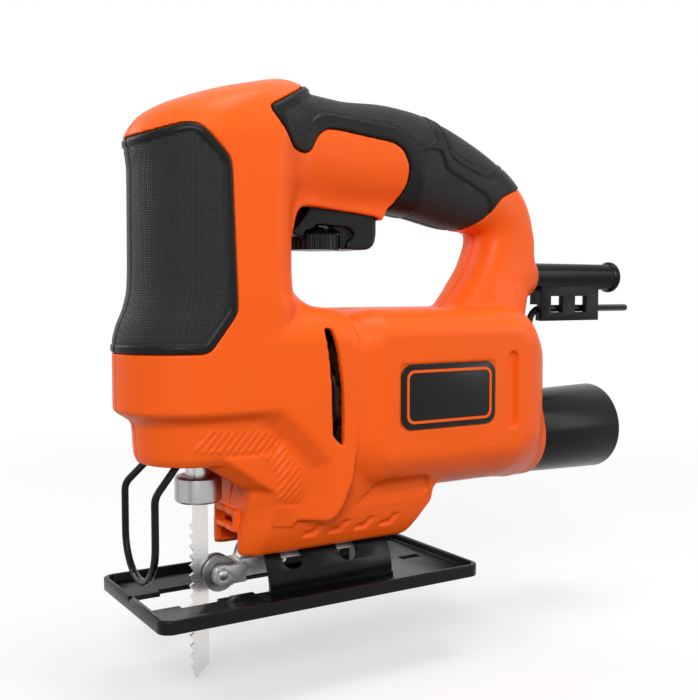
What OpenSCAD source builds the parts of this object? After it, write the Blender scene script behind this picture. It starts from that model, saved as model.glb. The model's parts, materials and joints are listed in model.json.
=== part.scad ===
// Corded jigsaw with a closed handle. The origin is where the blade's axis passes the
// underside of the shoe: +Z is up, the saw cuts towards -X, and y = 0 is the housing's seam.

/* [Shoe] */
// Length of the pressed shoe
shoe_l = 139.5; // [130:0.5:150]
// Width of the shoe
shoe_w = 67; // [64:0.5:72]
// Sheet thickness of the shoe
shoe_t = 2; // [1.5:0.1:2.2]
// Height of the turned-up rim over the shoe's underside
rim_h = 5; // [4:0.25:5.5]
// From the blade's axis to the shoe's front edge
shoe_front = 28; // [27.5:0.25:31]
// Width of the blade opening around the blade
slot_w = 25; // [20:0.5:27]

/* [Bevel saddle] */
// Outer radius of the arched saddle
saddle_r = 17.5; // [16.5:0.1:18]
// Sheet thickness of the saddle
saddle_t = 2; // [1.5:0.1:2.5]
// Length of the saddle
saddle_l = 55.5; // [50:0.5:60]
// Height of the bevel axis over the shoe's underside
bevel_z = 4; // [3.5:0.1:4.5]
// Width of the saddle's two curved slots
saddle_slot_w = 9.3; // [8:0.1:10]
// Shank diameter of the bevel screws
bevel_screw_d = 5; // [4:0.5:5]

/* [Housing] */
// Width of the head
head_w = 54; // [52:0.5:58]
// Height of the head's crown over the shoe's underside
crown_z = 199.6; // [197:0.2:204]
// Width of the motor barrel
barrel_w = 61; // [60:0.5:66]
// Top of the motor barrel
barrel_top = 111; // [109:0.5:113]
// Underside of the motor barrel
barrel_bottom = 35.5; // [34:0.5:37]
// Width of the handle
handle_w = 36; // [33:0.5:38]
// Width of the rear leg of the handle
leg_w = 27; // [25:0.5:29]
// Wall thickness of the housing
wall = 2.8; // [2.2:0.1:3]
// Underside of the skirt around the saddle
skirt_z = 17; // [16.6:0.1:18]
// Width of the skirt at its underside
skirt_w = 31; // [30:0.25:31.5]
// Thickness of the soft overmoulded grips
grip_t = 2; // [1.5:0.1:2.4]
// Diameter of the bosses for the housing screws
boss_d = 8; // [7.5:0.25:9]

/* [Motor] */
// Height of the motor's axis
motor_z = 74; // [73:0.25:75]
// Diameter of the armature shaft
shaft_d = 8; // [7.6:0.1:8]
// Diameter of the armature core
core_d = 34; // [32:0.5:34.4]
// Length of the armature core
core_l = 36; // [32:0.5:38]
// Width of the field stack
stack_w = 51.5; // [50:0.5:52]
// Height of the field stack
stack_h = 50; // [48:0.5:52]
// Diameter of the cooling fan
fan_d = 47; // [44:0.5:48]
// Diameter of the commutator
comm_d = 22; // [20:0.5:23]
// Outer diameter of the front bearing
front_od = 22; // [21:0.5:23]
// Outer diameter of the rear bearing
rear_od = 19; // [18:0.5:20]
// Width of both bearings
bearing_w = 7; // [6:0.5:7.5]

/* [Drive] */
// Module of the gear pair
gear_module = 0.9; // [0.88:0.01:0.92]
// Teeth on the pinion
pinion_teeth = 12; // [11:1:13]
// Teeth on the large gear
gear_teeth = 44; // [42:1:46]
// Width of the gears
gear_w = 7; // [6:0.5:7.5]
// Stroke of the blade
stroke = 16; // [14:0.5:17]
// Diameter of the plunger rod
rod_d = 10; // [9:0.25:10.5]
// Length of both guide bushes
bush_l = 10; // [8:0.5:11]

/* [Blade] */
// Width of the blade over its teeth
blade_w = 7.5; // [6.5:0.1:7.6]
// Thickness of the blade
blade_t = 1.2; // [1:0.1:1.5]
// How far the tip reaches below the shoe at the top of the stroke
blade_reach = 31; // [26:0.5:40]
// Pitch of the saw teeth
tooth_pitch = 3.9; // [2.5:0.1:4.5]
// Diameter of the blade clamp
clamp_d = 18; // [15:0.25:18.5]

/* [Support roller] */
// Diameter of the support roller
roller_d = 14; // [13:0.25:14.5]
// Width of the support roller
roller_w = 6; // [5:0.25:6.5]
// Height of the roller's axis
roller_z = 9.2; // [9:0.1:9.8]

/* [Controls] */
// Length of the trigger
trigger_l = 39.5; // [37:0.5:41]
// Width of the trigger
trigger_w = 18.4; // [17:0.2:19]
// Travel of the trigger
trigger_travel = 5.5; // [4.5:0.25:6]
// Diameter of the speed dial under the trigger
dial_d = 20; // [18:0.5:21]
// Diameter of the lock-on button
button_d = 10; // [9:0.25:11]
// Travel of the lock-on button
button_travel = 3; // [2:0.25:3.5]

/* [Dust outlet, sleeve and key] */
// Outer diameter of the dust tube at its root
dust_od = 38; // [37.5:0.25:39]
// Bore of the dust tube, for a vacuum hose
dust_bore = 35; // [33:0.25:35.5]
// Visible length of the dust tube
dust_l = 46; // [42:0.5:56]
// Height of the dust tube's axis
dust_z = 52.5; // [52:0.25:54]
// Outer diameter of the cord sleeve
sleeve_d = 12.4; // [12:0.1:13]
// Visible length of the cord sleeve
sleeve_l = 51.5; // [46:0.5:56]
// Bore of the cord sleeve
cord_bore = 7.2; // [6.6:0.1:8]
// Width of the hex key across its flats
key_af = 3; // [2.5:0.1:3.2]
// Reach of the hex key's long arm behind its elbow
key_long = 61; // [56:0.5:66]
// Length of the hex key's short arm
key_short = 26; // [22:0.5:29]

/* [Finger guard] */
// Wire diameter of the finger guard
wire_d = 2.8; // [2.4:0.1:3]
// Width between the guard's two legs
guard_w = 32; // [31:0.25:33]

/* [Clearances] */
// Radial clearance of running fits
run_gap = 0.03; // [0.02:0.01:0.06]
// Clearance between fixed pieces and their seats
seat_gap = 0.2; // [0.1:0.05:0.3]
// Clearance between moving pieces that pass each other
pass_gap = 0.35; // [0.3:0.05:0.5]

/* [Hidden] */

orange = "#ff6a22";
soft_black = "#2b2b2d";
shell_black = "#1d1d1f";
pressed_black = "#222224";
steel = "#c3c6c9";
dark_steel = "#77797c";
zinc = "#a9abad";
brass = "#c9a24a";
copper = "#b8622e";
carbon = "#3a3a3c";
grey_plastic = "#8d9093";

// Housing levels that the sections below share
nose_x = -31.8;
nose_floor = 54.3;
band_top = 75;
socket_end = 160.5;
socket_r = dust_od / 2 + 0.6;
sleeve_z = 124.8;
big = 400;

// Drive train places
bearing_x = 22.5;
gear_x = 12;
plate_x = gear_x + gear_w + 1;
centre_distance = (pinion_teeth + gear_teeth) * gear_module / 2;
gear_z = motor_z + centre_distance;
crank_r = stroke / 2;
yoke_z = gear_z + crank_r;
core_x = 76 - core_l / 2;
comm_x = 104;
rear_bearing_x = 124;
lower_bush_z = 57;
upper_bush_z = 124;
clamp_z = 38;
clamp_h = 10;
clamp_joint = 44.5;
rod_top = upper_bush_z + bush_l + stroke + 2;
blade_back = 3.6;
roller_groove_r = roller_d / 2 - 3.4;
roller_x = blade_back + roller_groove_r + 0.25;

// Control places
trigger_x = 36;
trigger_low = 134.5;
trigger_top = 156;
switch_z = trigger_top + trigger_travel + 0.5;
switch_h = 17;
switch_x = 34;
switch_l = 42;
switch_w = 16;
dial_x = 51;
button_x = 54;
button_z = switch_z + switch_h / 2;
button_flange_y = handle_w / 2 - wall - 0.7;

// ---------------------------------------------------------------- section outlines

// A horizontal section with a round nose: front, rear, half width, corner radius, nose length
function d_section(z, xf, xb, w, rc, nl) = concat(
    [for (i = [0:16]) let (t = 90 + i * 180 / 16) [xf + nl + nl * cos(t), w * sin(t), z]],
    [for (i = [0:3]) let (t = 270 + i * 30) [xb - rc + rc * cos(t), -w + rc + rc * sin(t), z]],
    [for (i = [0:3]) let (t = i * 30) [xb - rc + rc * cos(t), w - rc + rc * sin(t), z]]
);

// An upright section across X: half width, lower and upper level, lower and upper corner radius
function box_section(x, w, z0, z1, rb, rt) = concat(
    [for (i = [0:5]) let (t = -90 + i * 18) [x, w - rb + rb * cos(t), z0 + rb + rb * sin(t)]],
    [for (i = [0:5]) let (t = i * 18) [x, w - rt + rt * cos(t), z1 - rt + rt * sin(t)]],
    [for (i = [0:5]) let (t = 90 + i * 18) [x, -w + rt + rt * cos(t), z1 - rt + rt * sin(t)]],
    [for (i = [0:5]) let (t = 180 + i * 18) [x, -w + rb + rb * cos(t), z0 + rb + rb * sin(t)]]
);

// A section across the handle's path: centre, path direction, half height and half width
function grip_section(cx, cz, a, h, w) = [
    for (i = [0:23])
        let (t = i * 15, e = 0.8)
        let (u = w * sign(cos(t)) * pow(abs(cos(t)), e), v = h * sign(sin(t)) * pow(abs(sin(t)), e))
        [cx - v * sin(a), u, cz + v * cos(a)]
];

// A horizontal section of the skirt: front, its half width, end of the chamfer, half width, rear
function skirt_section(z, x0, fw, x1, w, x2) = [
    [x0, fw, z], [x0, -fw, z], [x1, -w, z], [x2, -w, z], [x2, w, z], [x1, w, z]
];

// Convex blends between neighbouring sections
module loft(sections) {
    n = len(sections[0]);
    ring = [for (i = [0:n - 1]) i];
    for (j = [0:len(sections) - 2])
        hull()
            polyhedron(
                points = concat(sections[j], sections[j + 1]),
                faces = concat(
                    [ring],
                    [[for (i = [n - 1:-1:0]) n + i]],
                    [for (i = [0:n - 1]) [i, n + i, n + (i + 1) % n]],
                    [for (i = [0:n - 1]) [i, n + (i + 1) % n, (i + 1) % n]]
                )
            );
}

function unit(v) = v / norm(v);

// Closed tube through rings of equal length
module skin(rings) {
    n = len(rings) - 1;
    m = len(rings[0]);
    polyhedron(
        points = [for (ring = rings) each ring],
        faces = concat(
            [[for (k = [0:m - 1]) k]],
            [[for (k = [m - 1:-1:0]) n * m + k]],
            [for (i = [0:n - 1]) for (k = [0:m - 1]) [i * m + k, (i + 1) * m + k, (i + 1) * m + (k + 1) % m]],
            [for (i = [0:n - 1]) for (k = [0:m - 1]) [i * m + k, (i + 1) * m + (k + 1) % m, i * m + (k + 1) % m]]
        )
    );
}

// ---------------------------------------------------------------- housing form

head_hw = head_w / 2;
// Level, front, rear, half width and nose length; g grows the form outwards
head_rows = [
    [nose_floor, -22.9, 30, head_hw - 7.5, 20], [57.5, -24.2, 30, head_hw - 5.6, 22],
    [69.3, -25.1, 32, head_hw - 4.4, 24], [band_top - 3.5, -26.4, 33, head_hw - 3.4, 25],
    [band_top, nose_x, 33, head_hw, 30], [98, nose_x, 33, head_hw, 30], [104.5, -30.4, 33, head_hw, 29],
    [111.5, -27.5, 33.5, head_hw, 28], [118.5, -25.8, 31.5, head_hw, 27], [127, -25.4, 31, head_hw, 27],
    [162, -25.2, 31, head_hw, 27], [173, -26.4, 33, head_hw, 28]
];
crown_rows = [
    [180, -22.6, 38, head_hw - 1, 28], [185, -16, 41, head_hw - 2.6, 26],
    [190, -4.5, 43, head_hw - 5, 22], [194, 7.5, 42, head_hw - 9, 17],
    [197, 19, 40, head_hw - 14, 11], [crown_z, 29, 37, head_hw - 20, 5]
];

function head_sections(g) = concat(
    [let (r = head_rows[0]) d_section(r[0] - g, r[1] - g, r[2] + g, r[3] + g, 6 + g, r[4])],
    [for (i = [1:len(head_rows) - 1]) let (r = head_rows[i])
        d_section(r[0], r[1] - g, r[2] + g, r[3] + g, 12 + g, r[4] + g)],
    [for (r = crown_rows)
        d_section(r[0] + g, r[1] - g / 2, r[2] + g / 2, r[3] + g / 2, min(r[3] + g / 2, 5), r[4])]
);

// Head, from the sunk band at its foot to the crown
module head_form(g) {
    loft(head_sections(g));
}

// Bulge between the head and the barrel, full wide down to the skirt
ring_rows = [
    [16, head_hw - 0.5, band_top, 111], [30, head_hw + 0.8, 58, barrel_top + 1.6], [40, head_hw + 1.4, 38, barrel_top + 1.4],
    [45, head_hw + 1.5, 31, barrel_top + 1], [50, head_hw + 1.3, 38, barrel_top + 0.6], [53, head_hw, 48, barrel_top - 1]
];
module ring_form(g) {
    loft([for (r = ring_rows)
        box_section(r[0] + (r[0] < 45 ? -g : r[0] > 46 ? g : 0), r[1] + g, r[2] - g, r[3] + g, 8, 14)]);
}

barrel_hw = barrel_w / 2;
barrel_rows = [
    [40, barrel_hw - 2.6, barrel_bottom + 3, barrel_top - 1, 22, 14, 0],
    [55, barrel_hw - 2, barrel_bottom + 1, barrel_top - 0.5, 23, 14, 0],
    [63, barrel_hw - 0.3, barrel_bottom, barrel_top, 24, 14, 0],
    [70, barrel_hw, barrel_bottom, barrel_top, 24, 14, 0], [134, barrel_hw, barrel_bottom, barrel_top, 24, 14, 0],
    [144, barrel_hw - 1.2, barrel_bottom + 0.5, barrel_top - 1.5, 23, 14, 0.5],
    [151, barrel_hw - 4.5, barrel_bottom + 2.5, barrel_top - 6, 21, 15, 0.8],
    [156, barrel_hw - 9.5, barrel_bottom + 7, barrel_top - 13, 18, 15, 1],
    [159.6, barrel_hw - 17, barrel_bottom + 15, barrel_top - 23, 12, 12, 1]
];
module barrel_form(g) {
    loft([for (r = barrel_rows)
        box_section(r[0] + g * r[6], r[1] + g, r[2] - g, r[3] + g, max(r[4] + g, 2), max(r[5] + g, 2))]);
}

handle_hw = handle_w / 2;
leg_hw = leg_w / 2;
// Centre, path direction, half height and half width along the handle and down the leg
handle_rows = [
    [16, 173.4, 0, 21.5, handle_hw + 2], [40, 173.7, 0, 22.1, handle_hw + 1], [62, 172.7, 0, 21.4, handle_hw],
    [76.5, 173, 0, 21.6, handle_hw], [90, 171.8, -8, 21.7, handle_hw], [103, 169, -16, 21, handle_hw - 0.2],
    [115, 165, -27, 20.2, handle_hw - 0.8], [127, 160, -41, 19.5, handle_hw - 1.6],
    [137.3, 155.2, -52, 17.6, (handle_hw + leg_hw) / 2], [144.6, 149.6, -67, 15.6, leg_hw + 1],
    [148, 141, -90, 14.8, leg_hw], [146.2, 130.5, -93, 15.8, leg_hw], [141, 118.5, -97, 17.6, leg_hw + 0.6],
    [136.5, 109, -98, 20, leg_hw + 3]
];
module handle_form(g) {
    loft([for (r = handle_rows) grip_section(r[0], r[1], r[2], r[3] + g, r[4] + g)]);
    // Soft ends of the leg inside the barrel
    loft([grip_section(136.5, 109, -98, 20 + g, leg_hw + 3 + g), grip_section(135, 98, -98, 20 + g, leg_hw + g)]);
}

skirt_hw = skirt_w / 2;
// Level, front, front half width, end of the chamfer, half width, rear
skirt_rows = [
    [skirt_z, 12, 10.5, 18, skirt_hw - 1.5, 85.5], [skirt_z + 1.5, 12, 12, 18.5, skirt_hw, 86.5],
    [27, 12.2, 13.2, 20, skirt_hw + 3.2, 92.5], [31.5, 12.6, 14, 21, skirt_hw + 4, 96],
    [36, 13, 15, 22, skirt_hw + 5, 96.5], [39, 13.5, 16, 23, skirt_hw + 6, 99],
    [44, 14.3, 17, 24, skirt_hw + 7.2, 102], [56, 14.3, 18.5, 24.5, skirt_hw + 8.4, 104]
];
module skirt_form(g) {
    loft([for (r = skirt_rows) skirt_section(r[0], r[1] - g, r[2] + g, r[3], r[4] + g, r[5] + g)]);
}

boss_r = 11.5;
boss_x = 157;
module cord_boss_form(g) {
    hull() {
        translate([boss_x, 0, sleeve_z]) sphere(r = boss_r + g, $fn = 20);
        translate([boss_x - 14, 0, sleeve_z + 2]) sphere(r = boss_r + g, $fn = 20);
    }
}

module dust_socket_form() {
    hull() {
        along_x(148, socket_end, dust_z, 2 * socket_r, 56);
        along_x(104, 106, dust_z + 2, 24, 28);
    }
}

module whole_form(g) {
    head_form(g);
    ring_form(g);
    barrel_form(g);
    handle_form(g);
    skirt_form(g);
    cord_boss_form(g);
}

// Side outline of the front grip's field
module front_grip_field(grow = 0) {
    rotate([90, 0, 0])
        linear_extrude(height = big, center = true)
            offset(delta = grow)
                polygon([
                    [-60, 171], [-26, 172.8], [-13, 176.6], [-9.5, 176.4], [-7, 174.8], [1.8, 165.3], [2.6, 162],
                    [4.5, 112], [4, 109.5], [-5.6, 97], [-8, 95.8], [-60, 95.3]
                ]);
}

// Side outline of the handle grip's field, over the handle and under its rear half
module handle_grip_field(grow = 0) {
    rotate([90, 0, 0])
        linear_extrude(height = big, center = true)
            offset(delta = grow)
                polygon([
                    [19, 185], [28, 172.2], [30, 170.7], [37, 170], [39.5, 171.6], [42, 177], [46, 180], [51, 180.4],
                    [78, 177.6], [83, 175], [86, 169], [86, 163], [84, 157], [82, 154], [82, 140],
                    [112, 137], [114.5, 142.4], [123, 145.5], [128, 149], [132, 153.5], [136, 158.6], [143, 161.6],
                    [170, 168], [120, 215], [50, 215], [34, 199]
                ]);
}

// ---------------------------------------------------------------- housing details

// Screw axes: x, z, and how far the head's seat lies from the seam
screw_rows = [
    [-14, 178, 12], [18, 151, 12], [-17, 66, 12], [97, 171, 10], [148, 141, 7],
    [141, 99.5, 12], [100, 41.5, 12], [26, 43, 12]
];
screw_d = 3.5;
screw_head_d = 6.6;
screw_head_h = 2.6;
screw_tip = 9;

module across(x, z, y0, y1, d, fn = 32) {
    translate([x, y1, z]) rotate([90, 0, 0]) cylinder(d = d, h = y1 - y0, $fn = fn);
}

module along_x(x0, x1, z, d, fn = 36) {
    translate([x0, 0, z]) rotate([0, 90, 0]) cylinder(d = d, h = x1 - x0, $fn = fn);
}

module screw_bosses() {
    for (s = screw_rows)
        hull() {
            across(s[0], s[1], -40, 40, boss_d, 20);
            across(s[0], s[1], -0.5, 0.5, boss_d + 1, 20);
        }
}

module screw_holes() {
    for (s = screw_rows) {
        across(s[0], s[1], -screw_tip - 1, s[2] + 1, screw_d + 2 * seat_gap, 20);
        across(s[0], s[1], s[2], 60, screw_head_d + 2 * seat_gap, 24);
    }
}

// Plates inside the housing that carry the drive, the motor and the switch
module carrier_ribs() {
    // Guide bush carriers
    for (z = [lower_bush_z, upper_bush_z])
        translate([-40, -40, z + 1.5]) cube([52, 80, bush_l - 3]);
    // Bearing plate carriers, before and behind the plate
    translate([plate_x - 1.9, -40, 54]) cube([1.7, 80, 8]);
    translate([plate_x + 4.2, -40, 50]) cube([2.4, 80, 66]);
    // Field stack carriers
    for (x = [core_x + 2, core_x + core_l - 4.5])
        translate([x, -40, 30]) cube([2.5, 80, 90]);
    // Brush plate carriers
    for (x = [brush_plate_x - 2.4, brush_plate_x + 2.5 + seat_gap])
        translate([x, -40, 30]) cube([2.2, 80, 90]);
    // Rear bearing carrier
    translate([rear_bearing_x + 1, -40, 36]) cube([bearing_w - 2, 80, 64]);
    // Switch carriers
    for (x = [switch_x + 6, switch_x + switch_l - 8])
        translate([x, -40, switch_z - 6]) cube([2.2, 80, 50]);
    // Web over the saddle, with the saddle's seat under it
    translate([17, -40, 27]) cube([75, 80, 2.4]);
    for (i = [0:5])
        translate([saddle_x + 1.5 + i * (saddle_l - 6) / 5, -40, skirt_z]) cube([2.6, 80, 12]);
    for (x = saddle_slot_x)
        translate([x, 0, skirt_z]) cylinder(r = 7, h = 19, $fn = 24);
    // Sockets for the finger guard's ends
    for (s = [-1, 1])
        translate([-19, s > 0 ? 8.5 : -18.5, nose_floor]) cube([15.5, 10, 9.5]);
    // Cord clamp bed
    translate([clamp_bed_x, -40, sleeve_z - 12]) cube([8, 80, 12 - cord_bore / 2 - 0.4]);
}

clamp_bed_x = 141;
saddle_x = 22;
saddle_slot_x = [saddle_x + 11, saddle_x + 36.1];
guard_x = -23.4;

// Room for everything that the housing holds
module inner_room() {
    g = seat_gap;
    // Plunger, its bushes and its yoke
    for (z = [lower_bush_z, upper_bush_z])
        translate([0, 0, z - g]) cylinder(d = rod_d + 8 + 2 * g, h = bush_l + 2 * g, $fn = 36);
    translate([0, 0, 40]) cylinder(d = rod_d + 2, h = rod_top - 36, $fn = 32);
    translate([-9, -yoke_l / 2 - 1.5, yoke_z - stroke - 10]) cube([19, yoke_l + 3, stroke + 20]);
    // Gear, bearing plate and bearing
    along_x(gear_x - 5, plate_x, gear_z, gear_teeth * gear_module + 5);
    along_x(gear_x - 5, plate_x, motor_z, 20);
    plate_solid(g);
    along_x(plate_x, bearing_x + bearing_w + 4, motor_z, front_od + 5 + 2 * g);
    // Fan, stack, coils and armature
    along_x(bearing_x + bearing_w, core_x - 1, motor_z, fan_d + 3);
    translate([core_x - 1 - g, -stack_w / 2 - g, motor_z - stack_h / 2 - g])
        cube([core_l + 2 + 2 * g, stack_w + 2 * g, stack_h + 2 * g]);
    along_x(core_x - 12, comm_x - 1, motor_z, 2 * coil_r + 7.4);
    along_x(comm_x - 2, rear_bearing_x, motor_z, comm_d + 26);
    translate([brush_plate_x - g, 0, 0]) brush_plate_outline(2.5 + 2 * g, g);
    brush_boxes(0, barrel_hw - wall - 1.7, holder_w + 1, holder_h + 1);
    // Rear bearing
    along_x(rear_bearing_x - g, rear_bearing_x + bearing_w + g, motor_z, rear_od + 2 * g);
    along_x(rear_bearing_x - 3, rear_bearing_x + bearing_w + 4, motor_z, rear_od - 5);
    // Switch
    translate([switch_x - g, -switch_w / 2 - g, switch_z - g])
        cube([switch_l + 2 * g, switch_w + 2 * g, switch_h + 2 * g]);
}

// Room for the front bearing's cup and the fan, across the walls between the head and the barrel
module drive_room() {
    translate([15, -17, 57.5]) cube([22, 34, 30]);
    along_x(fan_x - 0.5, 41, motor_z, fan_d + 1.5);
}

// Openings that reach the outside
module outside_openings() {
    // Trigger
    translate([trigger_x - pass_gap, -trigger_w / 2 - pass_gap, 140])
        cube([trigger_l + 2 * pass_gap, trigger_w + 2 * pass_gap, switch_z - 140]);
    // Lock-on button
    across(button_x, button_z, 0, 40, button_d + 2 * pass_gap, 32);
    across(button_x, button_z, 0, handle_w / 2 - wall, button_d + 4, 28);
    // Plunger under the nose
    translate([0, 0, 30]) cylinder(d = clamp_d + 3, h = lower_bush_z - 29, $fn = 32);
    // Saddle, and the screws that clamp it
    along_x(saddle_x - 14, saddle_x + saddle_l + 12, bevel_z, 2 * (saddle_r + 0.3), 56);
    for (x = saddle_slot_x) {
        translate([x, 0, 10]) cylinder(d = bevel_screw_d + 0.6, h = 30, $fn = 32);
        translate([x - nut_w / 2 - 0.15, -nut_w / 2 - 0.15, nut_z - 0.15]) cube([nut_w + 0.3, nut_w + 0.3, 30]);
    }
    // Open front of the skirt, for the roller bracket
    translate([5, -9.5, 10]) cube([12, 19, 16]);
    // Dust tube's socket
    along_x(socket_end - 21.5, socket_end + 10, dust_z, 31 + 2 * seat_gap, 48);
    // Cord sleeve
    along_x(boss_x, boss_x + 20, sleeve_z, sleeve_d + 2 * seat_gap);
    along_x(boss_x - 8, boss_x + 3.2, sleeve_z, 17.4);
    // Wire guard's sockets
    for (s = [-1, 1])
        guard_end_place(s) cylinder(d = wire_d + 0.3, h = guard_end + 0.2, $fn = 20);
    // Holes for the cord clamp's screws
    for (s = [-1, 1])
        translate([clamp_bed_x + 4, s * 7, cord_clamp_z - 4.2]) cylinder(d = 3.3, h = 20, $fn = 24);
    // Window with its frame in the front of the skirt
    translate([5, -7.8, 28.2]) cube([9.5, 15.6, 3]);
    // Air outlets beside the fan and air inlets at the rear of the barrel
    for (s = [-1, 1]) {
        for (i = [0:5]) {
            hull() {
                translate([vent_x(i), s * 30, 62 + i * 7]) rotate([90, 0, 0]) cylinder(d = 4.2, h = 12, center = true, $fn = 12);
                translate([vent_x(i + 1), s * 30, 69 + i * 7]) rotate([90, 0, 0]) cylinder(d = 4.2, h = 12, center = true, $fn = 12);
            }
        }
        hull() {
            for (z = [62.5, 90])
                translate([131, s * (barrel_hw + 2.2), z]) rotate([90, 0, 0]) cylinder(d = 5, h = 8, center = true, $fn = 16);
        }
    }
}

// Forward lean of the air outlet towards its top
function vent_x(i) = 44.6 - 3.4 * pow(max(i - 2, 0) / 4, 2);

module housing_half(side) {
    difference() {
        intersection() {
            union() {
                difference() {
                    union() {
                        whole_form(0);
                        dust_socket_form();
                        trigger_lip();
                        translate([11.3, -9.8, 26.2]) cube([3, 19.6, 7]);
                    }
                    whole_form(-wall);
                    drive_room();
                }
                intersection() {
                    difference() {
                        union() {
                            carrier_ribs();
                            screw_bosses();
                        }
                        inner_room();
                    }
                    whole_form(-wall / 2);
                }
            }
            translate([-big / 2, side > 0 ? 0 : -big, -big / 2]) cube([big, big, big]);
        }
        outside_openings();
        if (side > 0) screw_holes();
        else screw_pilots();
        grip_recesses();
        badge_recess();
    }
}

module screw_pilots() {
    for (s = screw_rows)
        across(s[0], s[1], -screw_tip - 1, 1, screw_d + 2 * seat_gap, 20);
}

// Small lip behind the trigger
module trigger_lip() {
    hull() {
        translate([trigger_x + trigger_l + 1, -9, 146]) cube([1.5, 18, 6]);
        translate([trigger_x + trigger_l + 1, -11, 151]) cube([4.5, 22, 3]);
    }
}

grip_proud = 0.5;
module grip_recesses() {
    difference() {
        front_grip_field(0.1);
        head_form(grip_proud - grip_t - 0.1);
        translate([20, -50, 0]) cube([400, 100, 300]);
    }
    difference() {
        handle_grip_field(0.1);
        handle_form(grip_proud - grip_t - 0.1);
        head_form(grip_proud - grip_t - 0.1);
    }
}

module front_grip(side) {
    intersection() {
        difference() {
            head_form(grip_proud);
            head_form(grip_proud - grip_t);
        }
        front_grip_field();
        translate([-60, side > 0 ? 0.1 : -60.1, 60]) cube([80, 60, 140]);
    }
}

module handle_grip(side) {
    intersection() {
        difference() {
            union() {
                handle_form(grip_proud);
                head_form(grip_proud);
            }
            handle_form(grip_proud - grip_t);
            head_form(grip_proud - grip_t);
        }
        handle_grip_field();
        translate([0, side > 0 ? 0.1 : -60.1, 100]) cube([200, 60, 140]);
    }
}

badge_x = 73;
badge_z = 63;
badge_l = 47.5;
badge_h = 26;
badge_t = 1;
module badge_outline(grow) {
    translate([badge_x - grow, 0, badge_z - grow])
        rotate([90, 0, 0])
            linear_extrude(height = badge_t + grow, center = true)
                rounded_rect(badge_l + 2 * grow, badge_h + 2 * grow, 5 + grow);
}
module badge_recess() {
    for (s = [-1, 1])
        translate([0, s * (barrel_hw + 0.1), 0]) badge_outline(0.1);
}

// A rectangle from the origin with round corners
module rounded_rect(l, w, r) {
    translate([r, 0]) square([l - 2 * r, w]);
    translate([0, r]) square([l, w - 2 * r]);
    for (x = [r, l - r])
        for (y = [r, w - r])
            translate([x, y]) circle(r = r, $fn = 48);
}

// ---------------------------------------------------------------- housing nodes

module housing_left() {
    color(orange) housing_half(-1);
}

module housing_right() {
    color(orange) housing_half(1);
}

module front_grip_left() {
    color(soft_black) front_grip(-1);
}

module front_grip_right() {
    color(soft_black) front_grip(1);
}

module handle_grip_left() {
    color(soft_black) handle_grip(-1);
}

module handle_grip_right() {
    color(soft_black)
        difference() {
            handle_grip(1);
            screw_holes();
        }
}

module badge_plates() {
    color(shell_black)
        for (s = [-1, 1])
            translate([0, s * (barrel_hw + 0.15), 0]) badge_outline(0);
}

module housing_screws() {
    color(dark_steel)
        for (s = screw_rows)
            difference() {
                union() {
                    across(s[0], s[1], -screw_tip, s[2] + 0.1, screw_d);
                    across(s[0], s[1], s[2], s[2] + screw_head_h, screw_head_d);
                }
                across(s[0], s[1], s[2] + screw_head_h - 1.4, s[2] + screw_head_h + 1, 3, 6);
            }
}

// ---------------------------------------------------------------- shoe, saddle and bracket

saddle_window_x = 18.5;
module shoe_plate() {
    color(pressed_black)
        difference() {
            translate([-shoe_front, -shoe_w / 2, 0])
                linear_extrude(height = rim_h) rounded_rect(shoe_l, shoe_w, 5);
            translate([shoe_t - shoe_front, shoe_t - shoe_w / 2, shoe_t])
                linear_extrude(height = rim_h) rounded_rect(shoe_l - 2 * shoe_t, shoe_w - 2 * shoe_t, 5 - shoe_t);
            // Blade opening with its stepped edges
            translate([-22.5, -slot_w / 2 + 3, -1]) cube([31, slot_w - 6, rim_h]);
            translate([-12, -slot_w / 2, -1]) cube([15, slot_w, rim_h]);
            // Notch for the roller's fork and the opening under the saddle
            translate([8, -8.6, -1]) cube([saddle_window_x - 7.9, 17.2, rim_h]);
            translate([saddle_window_x, -slot_w / 2 + 1, -1]) cube([saddle_l - 2, slot_w - 2, rim_h]);
            // Slot behind the saddle and the cut line mark in the front rim
            translate([94, -2, -1]) cube([10, 4, rim_h]);
            translate([-shoe_front - 1, 0, rim_h]) rotate([0, 90, 0]) rotate(45) translate([-1, -1]) cube([2, 2, 4]);
        }
}

module bevel_saddle() {
    color(pressed_black)
        difference() {
            union() {
                along_x(saddle_x, saddle_x + saddle_l, bevel_z, 2 * saddle_r, 96);
                for (s = [-1, 1])
                    translate([saddle_x, s > 0 ? saddle_r - 2.4 : -saddle_r - 1.1, shoe_t])
                        cube([saddle_l, 3.5, 1.5]);
            }
            along_x(saddle_x - 1, saddle_x + saddle_l + 1, bevel_z, 2 * (saddle_r - saddle_t), 96);
            translate([0, -big / 2, shoe_t - big]) cube([big, big, big]);
            for (x = saddle_slot_x)
                saddle_slot(x);
        }
}

// Curved slot across the saddle's crown, round at its ends
saddle_slot_a = 53.5;
module saddle_slot(x) {
    translate([x, 0, bevel_z]) {
        rotate([90, 0, 0]) rotate([0, 90, 0])
            translate([0, 0, -saddle_slot_w / 2])
                linear_extrude(height = saddle_slot_w)
                    polygon(concat([[0, 0]],
                        [for (a = [-saddle_slot_a:saddle_slot_a / 6:saddle_slot_a]) 2 * saddle_r * [sin(a), cos(a)]]));
        for (s = [-1, 1])
            rotate([-s * saddle_slot_a, 0, 0]) cylinder(d = saddle_slot_w, h = 2 * saddle_r, $fn = 40);
    }
}

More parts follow.
